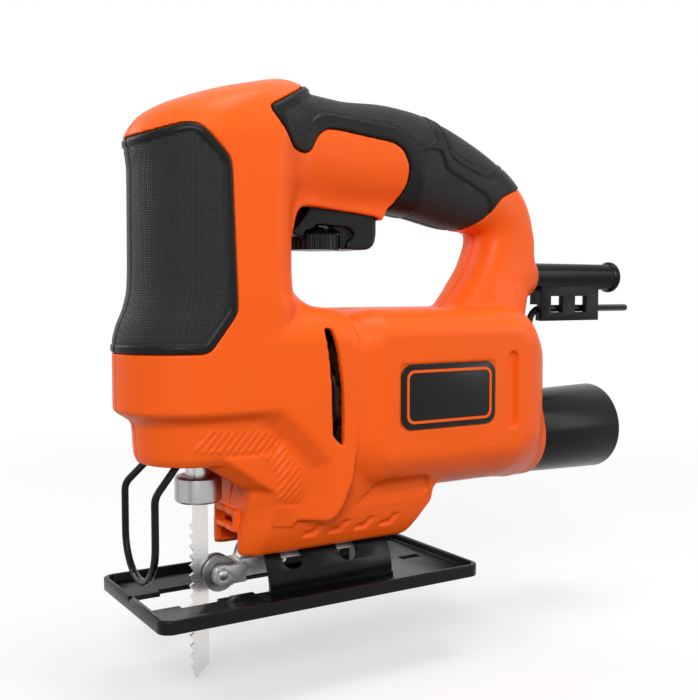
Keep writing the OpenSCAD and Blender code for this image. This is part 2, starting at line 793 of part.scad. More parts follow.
// Zinc casting: clamp inside the saddle, with the fork for the roller before it
bracket_r = saddle_r - saddle_t - 0.3;
bracket_flat = 14;
cheek_gap = roller_w + 0.7;
cheek_t = 3;
pin_d = 4;
arm_x = roller_x + roller_d / 2 + 0.5;
module roller_bracket() {
    color(zinc)
        difference() {
            union() {
                intersection() {
                    along_x(saddle_x + 2, saddle_x + saddle_l - 4, bevel_z, 2 * bracket_r, 96);
                    translate([0, -12, bracket_flat]) cube([100, 24, 20]);
                }
                // Arm with its fin, and the fork's cheeks
                translate([arm_x + 1, -4.5, roller_z - 2]) cube([saddle_x + 4 - arm_x, 9, 6.9]);
                rotate([90, 0, 0])
                    linear_extrude(height = 5, center = true)
                        polygon([[arm_x + 0.5, roller_z + 3], [arm_x + 3, 19], [arm_x + 6, 19], [arm_x + 9, bracket_flat]]);
                for (s = [-1, 1]) {
                    translate([roller_x, s > 0 ? cheek_gap / 2 : -cheek_gap / 2 - cheek_t, roller_z - 3.6])
                        cube([arm_x + 2 - roller_x, cheek_t, 7.2]);
                    across(roller_x, roller_z, s > 0 ? cheek_gap / 2 : -cheek_gap / 2 - cheek_t,
                        s > 0 ? cheek_gap / 2 + cheek_t : -cheek_gap / 2, 8, 48);
                }
                translate([arm_x, -cheek_gap / 2 - cheek_t, roller_z - 3.6]) cube([2, cheek_gap + 2 * cheek_t, 7.2]);
            }
            across(roller_x, roller_z, -20, 20, pin_d, 40);
            for (x = saddle_slot_x)
                translate([x, 0, 0]) cylinder(d = bevel_screw_d + 2 * seat_gap, h = 40, $fn = 32);
        }
}

nut_w = 8;
nut_z = 29.6;
nut_h = 4;
bevel_head_h = 4;
module bevel_screws() {
    color(steel)
        for (x = saddle_slot_x)
            translate([x, 0, 0])
                difference() {
                    union() {
                        translate([0, 0, bracket_flat - bevel_head_h]) cylinder(d = 8.6, h = bevel_head_h, $fn = 40);
                        translate([0, 0, bracket_flat - 0.1]) cylinder(d = bevel_screw_d, h = nut_z + nut_h + 1 - bracket_flat, $fn = 32);
                    }
                    translate([0, 0, bracket_flat - bevel_head_h - 1]) cylinder(d = 4, h = 3.5, $fn = 6);
                }
}

module bevel_nuts() {
    color(steel)
        for (x = saddle_slot_x)
            difference() {
                translate([x - nut_w / 2, -nut_w / 2, nut_z]) cube([nut_w, nut_w, nut_h]);
                translate([x, 0, 0]) cylinder(d = bevel_screw_d, h = 60, $fn = 32);
            }
}

module support_roller() {
    color(dark_steel)
        translate([roller_x, 0, roller_z]) rotate([90, 0, 0])
            difference() {
                cylinder(d = roller_d, h = roller_w, center = true, $fn = 64);
                cylinder(d = pin_d + 2 * run_gap, h = roller_w + 1, center = true, $fn = 40);
                difference() {
                    cylinder(d = roller_d + 2, h = blade_t + 1, center = true, $fn = 64);
                    cylinder(r = roller_groove_r, h = blade_t + 2, center = true, $fn = 64);
                }
            }
}

module roller_pin() {
    color(steel)
        across(roller_x, roller_z, -cheek_gap / 2 - cheek_t - 0.3, cheek_gap / 2 + cheek_t + 0.3, pin_d, 40);
}

// Wire guard: a round bow before the blade, its legs bent back and inwards into the nose
guard_low = 10.5;
guard_bend = 6;
guard_leg_top = 42;
guard_end = 22;
guard_turn = 17;
module guard_end_place(s) {
    translate([guard_x, s * guard_w / 2, guard_leg_top])
        rotate([0, 0, -s * guard_turn])
            translate([guard_bend, 0, 0]) rotate([0, 45, 0]) translate([-guard_bend, 0, -0.2]) children();
}
guard_bow_z = guard_low + guard_w / 2;

// Points of one bend, from its end in the nose down to the leg
function guard_leg(s, angles) = [
    for (a = angles)
        let (d = guard_bend * (1 - cos(min(a, 45))) + (a > 45 ? guard_end * sin(45) : 0))
        let (h = guard_bend * sin(min(a, 45)) + (a > 45 ? guard_end * cos(45) : 0))
        [guard_x + d * cos(guard_turn), s * (guard_w / 2 - d * sin(guard_turn)), guard_leg_top + h]
];
guard_path = concat(
    guard_leg(-1, [90, 45, 33.75, 22.5, 11.25, 0]),
    [for (a = [180:10:360]) [guard_x, guard_w / 2 * cos(a), guard_bow_z + guard_w / 2 * sin(a)]],
    guard_leg(1, [0, 11.25, 22.5, 33.75, 45, 90])
);
module finger_guard() {
    n = len(guard_path) - 1;
    color(shell_black)
        skin([
            for (i = [0:n])
                let (p = guard_path[i], t = guard_path[min(i + 1, n)] - guard_path[max(i - 1, 0)])
                let (u = unit(cross(t, [1, 0, 0])), v = cross(u, unit(t)))
                [for (k = [0:11]) p + wire_d / 2 * (cos(k * 30) * u + sin(k * 30) * v)]
        ]);
}

// ---------------------------------------------------------------- gears

// Point of a gear flank: base radius, roll angle and turn of the flank
function involute(rb, t, a) = rb * [cos(a + t) + t * PI / 180 * sin(a + t), sin(a + t) - t * PI / 180 * cos(a + t)];
function roll_to(rb, r) = sqrt(max(pow(r / rb, 2) - 1, 0)) * 180 / PI;

pressure = 25;
module gear_outline(teeth, m, backlash) {
    rp = teeth * m / 2;
    rb = rp * cos(pressure);
    rt = rp + 0.95 * m;
    rr = rp - 1.2 * m;
    half = 90 / teeth + (tan(pressure) - pressure * PI / 180) * 180 / PI - backlash / rp * 90 / PI;
    t0 = roll_to(rb, max(rr, rb));
    t1 = roll_to(rb, rt);
    flank = [for (i = [0:3]) turn(involute(rb, t0 + (t1 - t0) * i / 3, 0), -half)];
    polygon([
        for (k = [0:teeth - 1])
            let (a = k * 360 / teeth)
            each concat(
                [turn([rr, 0], a - half - 0.3)],
                [for (p = flank) turn(p, a)],
                [for (i = [3:-1:0]) turn([flank[i][0], -flank[i][1]], a)],
                [turn([rr, 0], a + half + 0.3)]
            )
    ]);
}
function turn(p, a) = [p[0] * cos(a) - p[1] * sin(a), p[0] * sin(a) + p[1] * cos(a)];

module gear_solid(teeth, z, x, w, phase) {
    translate([x, 0, z]) rotate([90, 0, 90]) rotate(phase)
        linear_extrude(height = w) gear_outline(teeth, gear_module, 0.12);
}

module ring_x(x0, x1, z, d_out, d_in, fn = 64) {
    difference() {
        along_x(x0, x1, z, d_out, fn);
        along_x(x0 - 1, x1 + 1, z, d_in, fn);
    }
}

// ---------------------------------------------------------------- drive

pinion_bore = 6;
module drive_pinion() {
    color(dark_steel)
        difference() {
            gear_solid(pinion_teeth, motor_z, gear_x, gear_w, 90 - 180 / pinion_teeth);
            along_x(gear_x - 1, gear_x + gear_w + 1, motor_z, pinion_bore, 40);
        }
}

crank_pin_d = 5;
axle_d = 8;
clip_d = 9.6;
module drive_gear() {
    color(steel)
        difference() {
            gear_solid(gear_teeth, gear_z, gear_x, gear_w, -90);
            along_x(gear_x - 1, gear_x + gear_w + 1, gear_z, axle_d + 2 * run_gap, 48);
            along_x(gear_x - 1, gear_x + 2.2, gear_z, clip_d + 0.8, 48);
            along_x(gear_x - 1, gear_x + gear_w + 1, yoke_z, crank_pin_d, 40);
            for (a = [-65, 0, 65])
                translate([0, 0, gear_z]) rotate([a, 0, 0])
                    along_x(gear_x - 1, gear_x + gear_w + 1, -13, 5, 32);
        }
}

module gear_axle() {
    color(steel)
        difference() {
            along_x(gear_x + 0.3, plate_x + 3.5, gear_z, axle_d, 48);
            ring_x(gear_x + 1, gear_x + 1.8, gear_z, axle_d + 2, axle_d - 1.4, 48);
        }
}

module axle_clip() {
    color(dark_steel)
        ring_x(gear_x + 1.05, gear_x + 1.75, gear_z, clip_d, axle_d - 1.3, 48);
}

roller_gap_x = pass_gap;
crank_front = rod_d / 2 + 3.2 + roller_gap_x;
module crank_pin() {
    color(steel)
        along_x(crank_front, gear_x + gear_w, yoke_z, crank_pin_d, 40);
}

crank_roller_d = 8;
module crank_roller() {
    color(dark_steel)
        ring_x(crank_front + 0.2, gear_x - 0.3, yoke_z, crank_roller_d, crank_pin_d + 2 * run_gap, 48);
}

module plunger_rod() {
    color(steel)
        translate([0, 0, clamp_joint]) cylinder(d = rod_d, h = rod_top - clamp_joint, $fn = 64);
}

yoke_l = stroke + crank_roller_d + 8;
yoke_h = crank_roller_d + 7;
module plunger_yoke() {
    color(dark_steel)
        difference() {
            union() {
                translate([rod_d / 2 - 1.2, -yoke_l / 2, yoke_z - yoke_h / 2]) cube([4.4, yoke_l, yoke_h]);
                translate([0, 0, yoke_z - yoke_h / 2]) cylinder(d = rod_d + 6, h = yoke_h, $fn = 48);
            }
            cylinder(d = rod_d, h = 300, $fn = 64);
            // Cross slot that faces the gear
            translate([rod_d / 2 + 0.4, -(stroke + crank_roller_d + 0.4) / 2, yoke_z - crank_roller_d / 2 - 0.1])
                cube([10, stroke + crank_roller_d + 0.4, crank_roller_d + 0.2]);
        }
}

module lower_bush() {
    color(brass) bush(lower_bush_z);
}

module upper_bush() {
    color(brass) bush(upper_bush_z);
}

module bush(z) {
    translate([0, 0, z])
        difference() {
            union() {
                cylinder(d = rod_d + 7, h = bush_l, $fn = 64);
                cylinder(d = rod_d + 8, h = 1.2, $fn = 64);
                translate([0, 0, bush_l - 1.2]) cylinder(d = rod_d + 8, h = 1.2, $fn = 64);
            }
            translate([0, 0, -1]) cylinder(d = rod_d + 2 * run_gap, h = bush_l + 2, $fn = 64);
        }
}

clamp_screw_z = 41.3;
clamp_screw_d = 4;
module blade_clamp() {
    color(steel)
        difference() {
            union() {
                translate([0, 0, clamp_z + 0.8]) cylinder(d = clamp_d, h = clamp_h - 1.6, $fn = 72);
                translate([0, 0, clamp_z]) cylinder(d1 = clamp_d - 1.6, d2 = clamp_d, h = 0.8, $fn = 72);
                translate([0, 0, clamp_z + clamp_h - 0.8]) cylinder(d1 = clamp_d, d2 = clamp_d - 1.6, h = 0.8, $fn = 72);
            }
            translate([0, 0, clamp_joint]) cylinder(d = rod_d, h = clamp_h, $fn = 64);
            translate([blade_back - blade_w - 0.1, -blade_t / 2 - 0.05, clamp_z - 1])
                cube([blade_w + 0.2, blade_t + 0.1, clamp_joint - clamp_z + 1.1]);
            across(0, clamp_screw_z, 0, 20, clamp_screw_d, 40);
        }
}

module clamp_screw() {
    color(dark_steel)
        difference() {
            across(0, clamp_screw_z, blade_t / 2, clamp_d / 2 + 0.4, clamp_screw_d, 40);
            across(0, clamp_screw_z, clamp_d / 2 - 2, clamp_d / 2 + 2, 2.2, 6);
        }
}

// Blade with forward teeth; the tip is cut back towards the teeth
blade_top = 44.2;
tooth_depth = 1.5;
module saw_blade() {
    front = blade_back - blade_w;
    low = -blade_reach;
    count = floor((35 - low - 4) / tooth_pitch);
    color(steel)
        rotate([90, 0, 0])
            linear_extrude(height = blade_t, center = true)
                polygon(concat(
                    [[blade_back, low + 5], [blade_back, blade_top], [front + tooth_depth, blade_top],
                        [front + tooth_depth, low + 3 + (count + 0.4) * tooth_pitch]],
                    [for (i = [count - 1:-1:0]) each [
                        [front + tooth_depth, low + 3 + (i + 0.85) * tooth_pitch],
                        [front, low + 3 + (i + 0.6) * tooth_pitch],
                        [front + tooth_depth, low + 3 + i * tooth_pitch]]],
                    [[front + 2.2, low]]
                ));
}

// ---------------------------------------------------------------- motor

plate_t = 4;
// Outline of the bearing plate, grown by g, with the cup for the front bearing
module plate_solid(g) {
    translate([plate_x - g, 0, 0])
        rotate([90, 0, 90])
            linear_extrude(height = plate_t + 2 * g)
                union() {
                    translate([-16 - g, motor_z - 16 - g]) square([32 + 2 * g, 20 + 2 * g]);
                    translate([-22 - g, motor_z + 3 - g]) square([44 + 2 * g, 27 + 2 * g]);
                    translate([-14 - g, motor_z + 20 - g]) square([28 + 2 * g, 18 + 2 * g]);
                }
}

module bearing_plate() {
    color(zinc)
        difference() {
            union() {
                plate_solid(0);
                along_x(plate_x, bearing_x + bearing_w, motor_z, front_od + 5, 72);
            }
            along_x(bearing_x, bearing_x + bearing_w + 1, motor_z, front_od, 72);
            along_x(plate_x - 1, bearing_x + 1, motor_z, shaft_d + 3, 48);
            along_x(plate_x - 1, plate_x + plate_t + 1, gear_z, axle_d, 48);
        }
}

module bearing(x, od) {
    color(steel)
        difference() {
            ring_x(x, x + bearing_w, motor_z, od, bearing_bore(x) + 2 * run_gap, 72);
            for (x1 = [x - 1, x + bearing_w - 0.5])
                ring_x(x1, x1 + 1.5, motor_z, od - 4, bearing_bore(x) + 4, 72);
        }
}
function bearing_bore(x) = x > 100 ? shaft_d - 1 : shaft_d;

module front_bearing() {
    bearing(bearing_x, front_od);
}

module rear_bearing() {
    bearing(rear_bearing_x, rear_od);
}

stack_bore = core_d + 1.4;
coil_r = core_d / 2 + 7.3;
coil_a = 32;
module field_stack() {
    color(dark_steel)
        difference() {
            translate([core_x - 1, 0, motor_z]) rotate([90, 0, 90])
                linear_extrude(height = core_l + 2)
                    intersection() {
                        square([stack_w, stack_h], center = true);
                        circle(d = stack_w + 8, $fn = 96);
                    }
            along_x(core_x - 2, core_x + core_l + 2, motor_z, stack_bore, 96);
            coil_sides(0.4);
        }
}

// The four straight coil sides that pass through the stack
module coil_sides(g) {
    for (sy = [-1, 1])
        for (sz = [-1, 1])
            translate([core_x - 2, sy * coil_r * cos(coil_a) - 2.4 - g, motor_z + sz * coil_r * sin(coil_a) - 4 - g])
                cube([core_l + 4, 4.8 + 2 * g, 8 + 2 * g]);
}

module field_coils() {
    color(copper) {
        coil_sides(0);
        for (x = [core_x - 7.5, core_x + core_l + 1.5])
            for (a = [coil_a - 8, coil_a + 172])
                translate([x, 0, motor_z]) rotate([90, 0, 90]) rotate(a)
                    rotate_extrude(angle = 180 - 2 * (coil_a - 8), $fn = 96)
                        translate([coil_r - 2.8, 0]) square([5.6, 6]);
    }
}

module armature_shaft() {
    color(steel) {
        along_x(gear_x - 0.5, plate_x + 0.5, motor_z, pinion_bore, 40);
        along_x(plate_x + 0.4, comm_x + 16, motor_z, shaft_d, 48);
        along_x(comm_x + 15.9, rear_bearing_x + bearing_w + 1.5, motor_z, shaft_d - 1, 48);
    }
}

core_slots = 12;
module armature_core() {
    color(dark_steel)
        difference() {
            ring_x(core_x, core_x + core_l, motor_z, core_d, shaft_d, 96);
            for (k = [0:core_slots - 1])
                translate([core_x - 1, 0, motor_z]) rotate([k * 360 / core_slots, 0, 0])
                    translate([0, -1, core_d / 2 - 7]) cube([core_l + 2, 2, 8]);
        }
}

module armature_windings() {
    color(copper)
        difference() {
            union() {
                for (k = [0:core_slots - 1])
                    translate([core_x - 4, 0, motor_z]) rotate([k * 360 / core_slots, 0, 0])
                        translate([0, -0.9, core_d / 2 - 6.9]) cube([core_l + 8, 1.8, 5.4]);
                for (s = [0, 1])
                    translate([core_x + s * core_l, 0, motor_z]) mirror([1 - s, 0, 0]) rotate([0, 90, 0])
                        cylinder(d1 = core_d - 3, d2 = core_d - 9, h = 8, $fn = 64);
            }
            along_x(core_x - 20, core_x + core_l + 20, motor_z, shaft_d, 48);
        }
}

comm_bars = 24;
module commutator() {
    color(copper)
        difference() {
            ring_x(comm_x, comm_x + 14, motor_z, comm_d, shaft_d, 72);
            for (k = [0:comm_bars - 1])
                translate([comm_x - 1, 0, motor_z]) rotate([k * 360 / comm_bars, 0, 0])
                    translate([0, -0.2, comm_d / 2 - 0.7]) cube([12.5, 0.4, 2]);
        }
}

fan_x = 35;
fan_w = 12;
fan_blades = 11;
module cooling_fan() {
    color(shell_black)
        difference() {
            union() {
                along_x(fan_x, fan_x + fan_w, motor_z, 18, 48);
                along_x(fan_x + fan_w - 2, fan_x + fan_w, motor_z, fan_d, 96);
                for (k = [0:fan_blades - 1])
                    translate([fan_x + 1, 0, motor_z]) rotate([k * 360 / fan_blades, 0, 0])
                        translate([0, -0.9, 8]) cube([fan_w - 2, 1.8, fan_d / 2 - 9]);
            }
            along_x(fan_x - 1, fan_x + fan_w + 1, motor_z, shaft_d, 48);
        }
}

brush_l = 11;
holder_y = comm_d / 2 + 1.2;
holder_w = 8;
holder_h = 9.6;
brush_plate_x = comm_x + 11.8;
// Ring that carries both brush holders
module brush_plate_outline(h, g) {
    rotate([90, 0, 90])
        linear_extrude(height = h)
            translate([0, motor_z])
                intersection() {
                    circle(d = barrel_w - 2 * wall - 1.6 + 2 * g, $fn = 48);
                    square([barrel_w, 44 + 2 * g], center = true);
                }
}
module brush_plate() {
    color(grey_plastic)
        difference() {
            translate([brush_plate_x, 0, 0]) brush_plate_outline(2.5, 0);
            along_x(brush_plate_x - 1, brush_plate_x + 4, motor_z, comm_d + 3, 72);
        }
}

module brush_boxes(y0, y1, w, h) {
    for (s = [-1, 1])
        translate([brush_plate_x - holder_w / 2 - w / 2, s > 0 ? y0 : -y1, motor_z - h / 2]) cube([w, y1 - y0, h]);
}

module brush_holders() {
    color(brass)
        difference() {
            brush_boxes(holder_y, barrel_hw - wall - 2.2, holder_w, holder_h);
            brush_boxes(holder_y - 1, barrel_hw - wall - 3.2, holder_w - 1.6, holder_h - 1.6);
        }
}

module carbon_brushes() {
    color(carbon)
        difference() {
            brush_boxes(comm_d / 2 - 1, comm_d / 2 + brush_l, holder_w - 1.8, holder_h - 1.8);
            along_x(comm_x - 1, comm_x + 20, motor_z, comm_d + 0.2, 72);
        }
}

// ---------------------------------------------------------------- controls

stem_d = 4;
module switch_body() {
    color(shell_black)
        difference() {
            translate([switch_x, -switch_w / 2, switch_z]) cube([switch_l, switch_w, switch_h]);
            translate([stem_x, 0, switch_z - 1]) cylinder(d = stem_d + 2 * run_gap, h = trigger_travel + 9, $fn = 40);
            across(button_x, button_z, switch_w / 2 - button_travel - 5, 20, stem_d + 2 * run_gap, 40);
            for (x = [switch_x + switch_l - 1.5])
                translate([x, -switch_w / 2 + 2, switch_z + 4]) cube([2, switch_w - 4, 3]);
        }
}

stem_x = trigger_x + trigger_l - 6;
trigger_end = trigger_x + trigger_l;
module trigger() {
    color(shell_black)
        difference() {
            union() {
                rotate([90, 0, 0])
                    linear_extrude(height = trigger_w, center = true)
                        polygon([
                            [trigger_x, trigger_low + 2.7], [trigger_x + 1.5, trigger_low + 1.5],
                            [trigger_x + 10, trigger_low + 0.9], [trigger_end - 9, trigger_low],
                            [trigger_end - 3.5, trigger_low + 0.3], [trigger_end - 0.9, trigger_low + 2.5],
                            [trigger_end, trigger_low + 6], [trigger_end, trigger_top],
                            [trigger_x + 8, trigger_top], [trigger_x + 7.2, trigger_low + 14.5],
                            [trigger_x + 3.5, trigger_low + 9.5]
                        ]);
                translate([stem_x, 0, trigger_top - 1]) cylinder(d = stem_d, h = switch_z - trigger_top + 5, $fn = 40);
            }
            // Room for the dial, open on both sides, and for its spindle
            translate([dial_x, 0, trigger_low - 1]) cylinder(d = dial_d + 2 * pass_gap, h = dial_h + 1.2, $fn = 64);
            rotate([90, 0, 0])
                linear_extrude(height = trigger_w + 1, center = true)
                    polygon([
                        [dial_x - 9.4, trigger_low - 2], [dial_x - 9.4, trigger_low + dial_h + 2.5],
                        [dial_x - 6, trigger_low + dial_h + 4], [dial_x + 10, trigger_low + dial_h + 4],
                        [dial_x + 15, trigger_low + dial_h - 1], [dial_x + 15, trigger_low - 2]
                    ]);
            translate([dial_x, 0, 0]) cylinder(d = dial_spindle + 2 * run_gap, h = 200, $fn = 40);
            // Hollow over the dial
            translate([trigger_x + 10, -trigger_w / 2 + 2, trigger_low + 14]) cube([trigger_l - 19, trigger_w - 4, 20]);
        }
}

dial_h = 6;
dial_spindle = 4;
dial_ribs = 30;
module speed_dial() {
    color(shell_black)
        translate([dial_x, 0, trigger_low - 0.2]) {
            difference() {
                cylinder(d = dial_d, h = dial_h, $fn = 96);
                for (k = [0:dial_ribs - 1])
                    rotate(k * 360 / dial_ribs) translate([dial_d / 2 + 0.15, 0, -1]) cylinder(d = 1.3, h = dial_h + 2, $fn = 16);
            }
            translate([0, 0, dial_h]) cylinder(d1 = dial_d - 2, d2 = dial_spindle + 3, h = 3.2, $fn = 64);
            cylinder(d = dial_spindle, h = 17, $fn = 40);
        }
}

// Coil with a six-sided wire
module spring(r, d, h, turns) {
    per = 14;
    n = floor(turns * per);
    skin([
        for (i = [0:n])
            let (a = i * 360 / per)
            [for (k = [0:5]) let (rr = r + d / 2 * cos(k * 60))
                [rr * cos(a), rr * sin(a), d / 2 + (h - d) * i / n + d / 2 * sin(k * 60)]]
    ]);
}

module trigger_spring() {
    color(steel)
        translate([stem_x, 0, trigger_top + 0.1]) spring(stem_d / 2 + 0.9, 0.7, switch_z - trigger_top - 0.2, 4);
}

module lock_button() {
    color(shell_black)
        difference() {
            union() {
                across(button_x, button_z, button_flange_y - 1.6, handle_w / 2 + 1.6, button_d, 48);
                across(button_x, button_z, button_flange_y - 1.6, button_flange_y, button_d + 3, 48);
                across(button_x, button_z, switch_w / 2 - 4, button_flange_y, stem_d, 40);
            }
        }
}

module button_spring() {
    color(steel)
        translate([button_x, switch_w / 2 + 0.1, button_z]) rotate([-90, 0, 0])
            spring(stem_d / 2 + 0.8, 0.6, button_flange_y - 1.6 - switch_w / 2 - 0.2, 3);
}

// ---------------------------------------------------------------- sleeve, key and dust tube

sleeve_end = boss_x + boss_r + sleeve_l;
module cord_sleeve() {
    color(shell_black)
        difference() {
            union() {
                along_x(boss_x - 1, sleeve_end - 3, sleeve_z, sleeve_d, 64);
                along_x(boss_x - 1, boss_x + 3, sleeve_z, 17, 64);
                translate([sleeve_end - 3, 0, sleeve_z]) rotate([0, 90, 0]) cylinder(d1 = sleeve_d, d2 = sleeve_d + 2.6, h = 1.4, $fn = 64);
                along_x(sleeve_end - 1.6, sleeve_end, sleeve_z, sleeve_d + 2.6, 64);
            }
            along_x(boss_x - 5, sleeve_end + 5, sleeve_z, cord_bore, 64);
        }
}

cord_clamp_z = sleeve_z - cord_bore / 2 - 0.4;
module cord_clamp() {
    color(grey_plastic)
        difference() {
            translate([clamp_bed_x + 0.5, -9.5, sleeve_z + cord_bore / 2 - 1.6]) cube([7, 19, 3.4]);
            along_x(clamp_bed_x - 1, clamp_bed_x + 10, sleeve_z, cord_bore, 48);
            for (s = [-1, 1])
                translate([clamp_bed_x + 4, s * 7, 0]) cylinder(d = 3, h = 200, $fn = 32);
        }
}

module cord_clamp_screws() {
    color(dark_steel)
        for (s = [-1, 1])
            translate([clamp_bed_x + 4, s * 7, 0]) {
                translate([0, 0, cord_clamp_z - 4]) cylinder(d = 3, h = sleeve_z + cord_bore / 2 + 2 - cord_clamp_z + 4, $fn = 32);
                translate([0, 0, sleeve_z + cord_bore / 2 + 1.8]) cylinder(d = 5.4, h = 2, $fn = 32);
            }
}

clip_x = 171;
clip_l = 37;
clip_low = 104;
key_z = 109.8;
key_r = key_af / sqrt(3);
module key_clip() {
    color(soft_black)
        difference() {
            translate([clip_x, -4, clip_low]) cube([clip_l, 8, sleeve_z - sleeve_d / 2 + 3 - clip_low]);
            along_x(clip_x - 1, clip_x + clip_l + 1, sleeve_z, sleeve_d, 64);
            // Two windows, wider behind their thin front wall, and the key's bed, open to the far side
            for (x = [clip_x + 6, clip_x + 21.5]) {
                translate([x, -5, clip_low + 4]) cube([7.5, 10, 7.6]);
                translate([x, -1.2, clip_low + 4]) cube([13.5, 6, 7.6]);
            }
            along_x(clip_x - 1, clip_x + clip_l + 1, key_z, 2 * key_r + 0.3, 40);
            translate([clip_x - 1, 0, key_z - key_r - 0.15]) cube([clip_l + 2, 5, 2 * key_r + 0.3]);
            // Room for the key's elbow
            translate([clip_x - 1, -key_r - 0.3, clip_low - 1]) cube([4.6, 12, key_z - clip_low + 1]);
        }
}

key_elbow = 7;
key_x = clip_x - 4;
module hex_key() {
    color(shell_black) {
        translate([key_x + key_elbow, 0, key_z]) rotate([0, 90, 0]) cylinder(r = key_r, h = key_long - key_elbow + 3, $fn = 6);
        translate([key_x, 0, key_z - key_short]) rotate(0) cylinder(r = key_r, h = key_short - key_elbow, $fn = 6);
        translate([key_x + key_elbow, 0, key_z - key_elbow]) rotate([90, 0, 0]) rotate(90)
            rotate_extrude(angle = 90, $fn = 64) translate([key_elbow, 0]) rotate(0) circle(r = key_r, $fn = 6);
    }
}

dust_spigot_d = 31;
module dust_tube() {
    x0 = socket_end + 0.3;
    color(shell_black)
        difference() {
            union() {
                translate([x0, 0, dust_z]) rotate([0, 90, 0]) cylinder(d1 = dust_od, d2 = dust_od + 2.4, h = dust_l, $fn = 96);
                along_x(socket_end - 20.5, x0 + 1, dust_z, dust_spigot_d, 96);
            }
            along_x(x0 + 8, x0 + dust_l + 1, dust_z, dust_bore, 96);
            translate([x0 + 2, 0, dust_z]) rotate([0, 90, 0]) cylinder(d1 = dust_spigot_d - 4, d2 = dust_bore, h = 6.01, $fn = 96);
            along_x(socket_end - 30, x0 + 2.01, dust_z, dust_spigot_d - 4, 96);
        }
}

housing_left();
housing_right();
front_grip_left();
front_grip_right();
handle_grip_left();
handle_grip_right();
badge_plates();
housing_screws();
shoe_plate();
bevel_saddle();
roller_bracket();
bevel_screws();
bevel_nuts();
support_roller();
roller_pin();
finger_guard();
bearing_plate();
front_bearing();
rear_bearing();
field_stack();
field_coils();
brush_plate();
brush_holders();
carbon_brushes();
gear_axle();
axle_clip();
lower_bush();
upper_bush();
armature_shaft();
armature_core();
armature_windings();
commutator();
cooling_fan();
drive_pinion();
drive_gear();
crank_pin();
crank_roller();
plunger_rod();
plunger_yoke();
blade_clamp();
clamp_screw();
saw_blade();
switch_body();
trigger();
trigger_spring();
speed_dial();
lock_button();
button_spring();
cord_sleeve();
cord_clamp();
cord_clamp_screws();
key_clip();
hex_key();
dust_tube();
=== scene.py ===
"""A corded jigsaw with a closed handle.

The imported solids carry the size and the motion. This script adds the moulded housing, the soft grips, the
rounded hardware, the materials, the light and the camera. Lengths are millimetres until they reach
Blender, which takes metres.
"""

import json
import math
from functools import reduce

import bmesh
import bpy
import numpy as np
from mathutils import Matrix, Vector


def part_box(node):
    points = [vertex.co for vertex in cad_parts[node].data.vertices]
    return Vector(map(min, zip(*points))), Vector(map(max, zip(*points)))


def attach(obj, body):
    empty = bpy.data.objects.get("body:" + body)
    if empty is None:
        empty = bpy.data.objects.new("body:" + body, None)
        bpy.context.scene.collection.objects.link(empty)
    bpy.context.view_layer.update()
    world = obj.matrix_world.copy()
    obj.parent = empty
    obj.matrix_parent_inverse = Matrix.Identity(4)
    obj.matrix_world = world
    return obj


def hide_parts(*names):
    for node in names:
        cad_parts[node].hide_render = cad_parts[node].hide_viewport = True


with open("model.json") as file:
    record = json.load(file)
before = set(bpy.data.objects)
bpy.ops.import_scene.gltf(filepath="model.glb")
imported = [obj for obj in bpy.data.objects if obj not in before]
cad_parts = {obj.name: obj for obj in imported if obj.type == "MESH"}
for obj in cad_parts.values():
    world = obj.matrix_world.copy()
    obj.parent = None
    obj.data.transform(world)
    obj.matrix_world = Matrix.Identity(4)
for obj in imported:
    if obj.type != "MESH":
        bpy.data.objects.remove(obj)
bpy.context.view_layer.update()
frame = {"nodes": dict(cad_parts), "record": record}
NODES = frame["nodes"]
SLOTS = {part["node"]: part["material_slot"] for part in frame["record"]["subparts"]}
MM = 0.001  # metres in a millimetre
CELL = 0.62  # size of the cells in which the moulded shapes are sampled


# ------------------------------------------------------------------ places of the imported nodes

X, Y, Z = 0, 1, 2


def extent(node, axis):
    """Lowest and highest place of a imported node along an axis, to a tenth of a millimetre."""
    return [round(corner[axis] / MM, 1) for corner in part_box(node)]


def middle(node, axis):
    return round(sum(extent(node, axis)) / 2, 2)


MOTOR_Z = middle("armature_shaft", Z)
GEAR_Z = middle("drive_gear", Z)
TUBE_Z = middle("dust_tube", Z)
SLEEVE_Z = middle("cord_sleeve", Z)
DIAL_X = middle("speed_dial", X)
BUTTON = middle("lock_button", X), middle("lock_button", Z)
BUSHES = [extent(node, Z) for node in ("lower_bush", "upper_bush")]
NUT_HALF = extent("bevel_nuts", Y)[1]
NUTS_X = extent("bevel_nuts", X)[0] + NUT_HALF, extent("bevel_nuts", X)[1] - NUT_HALF
BADGE_X, BADGE_Z = extent("badge_plates", X), extent("badge_plates", Z)
GAP = 0.2  # round what is seated in the housing
PASS_GAP = 0.35  # round what slides through its wall, and round the grips
NUT_GAP = 0.15


# ------------------------------------------------------------------ node trees


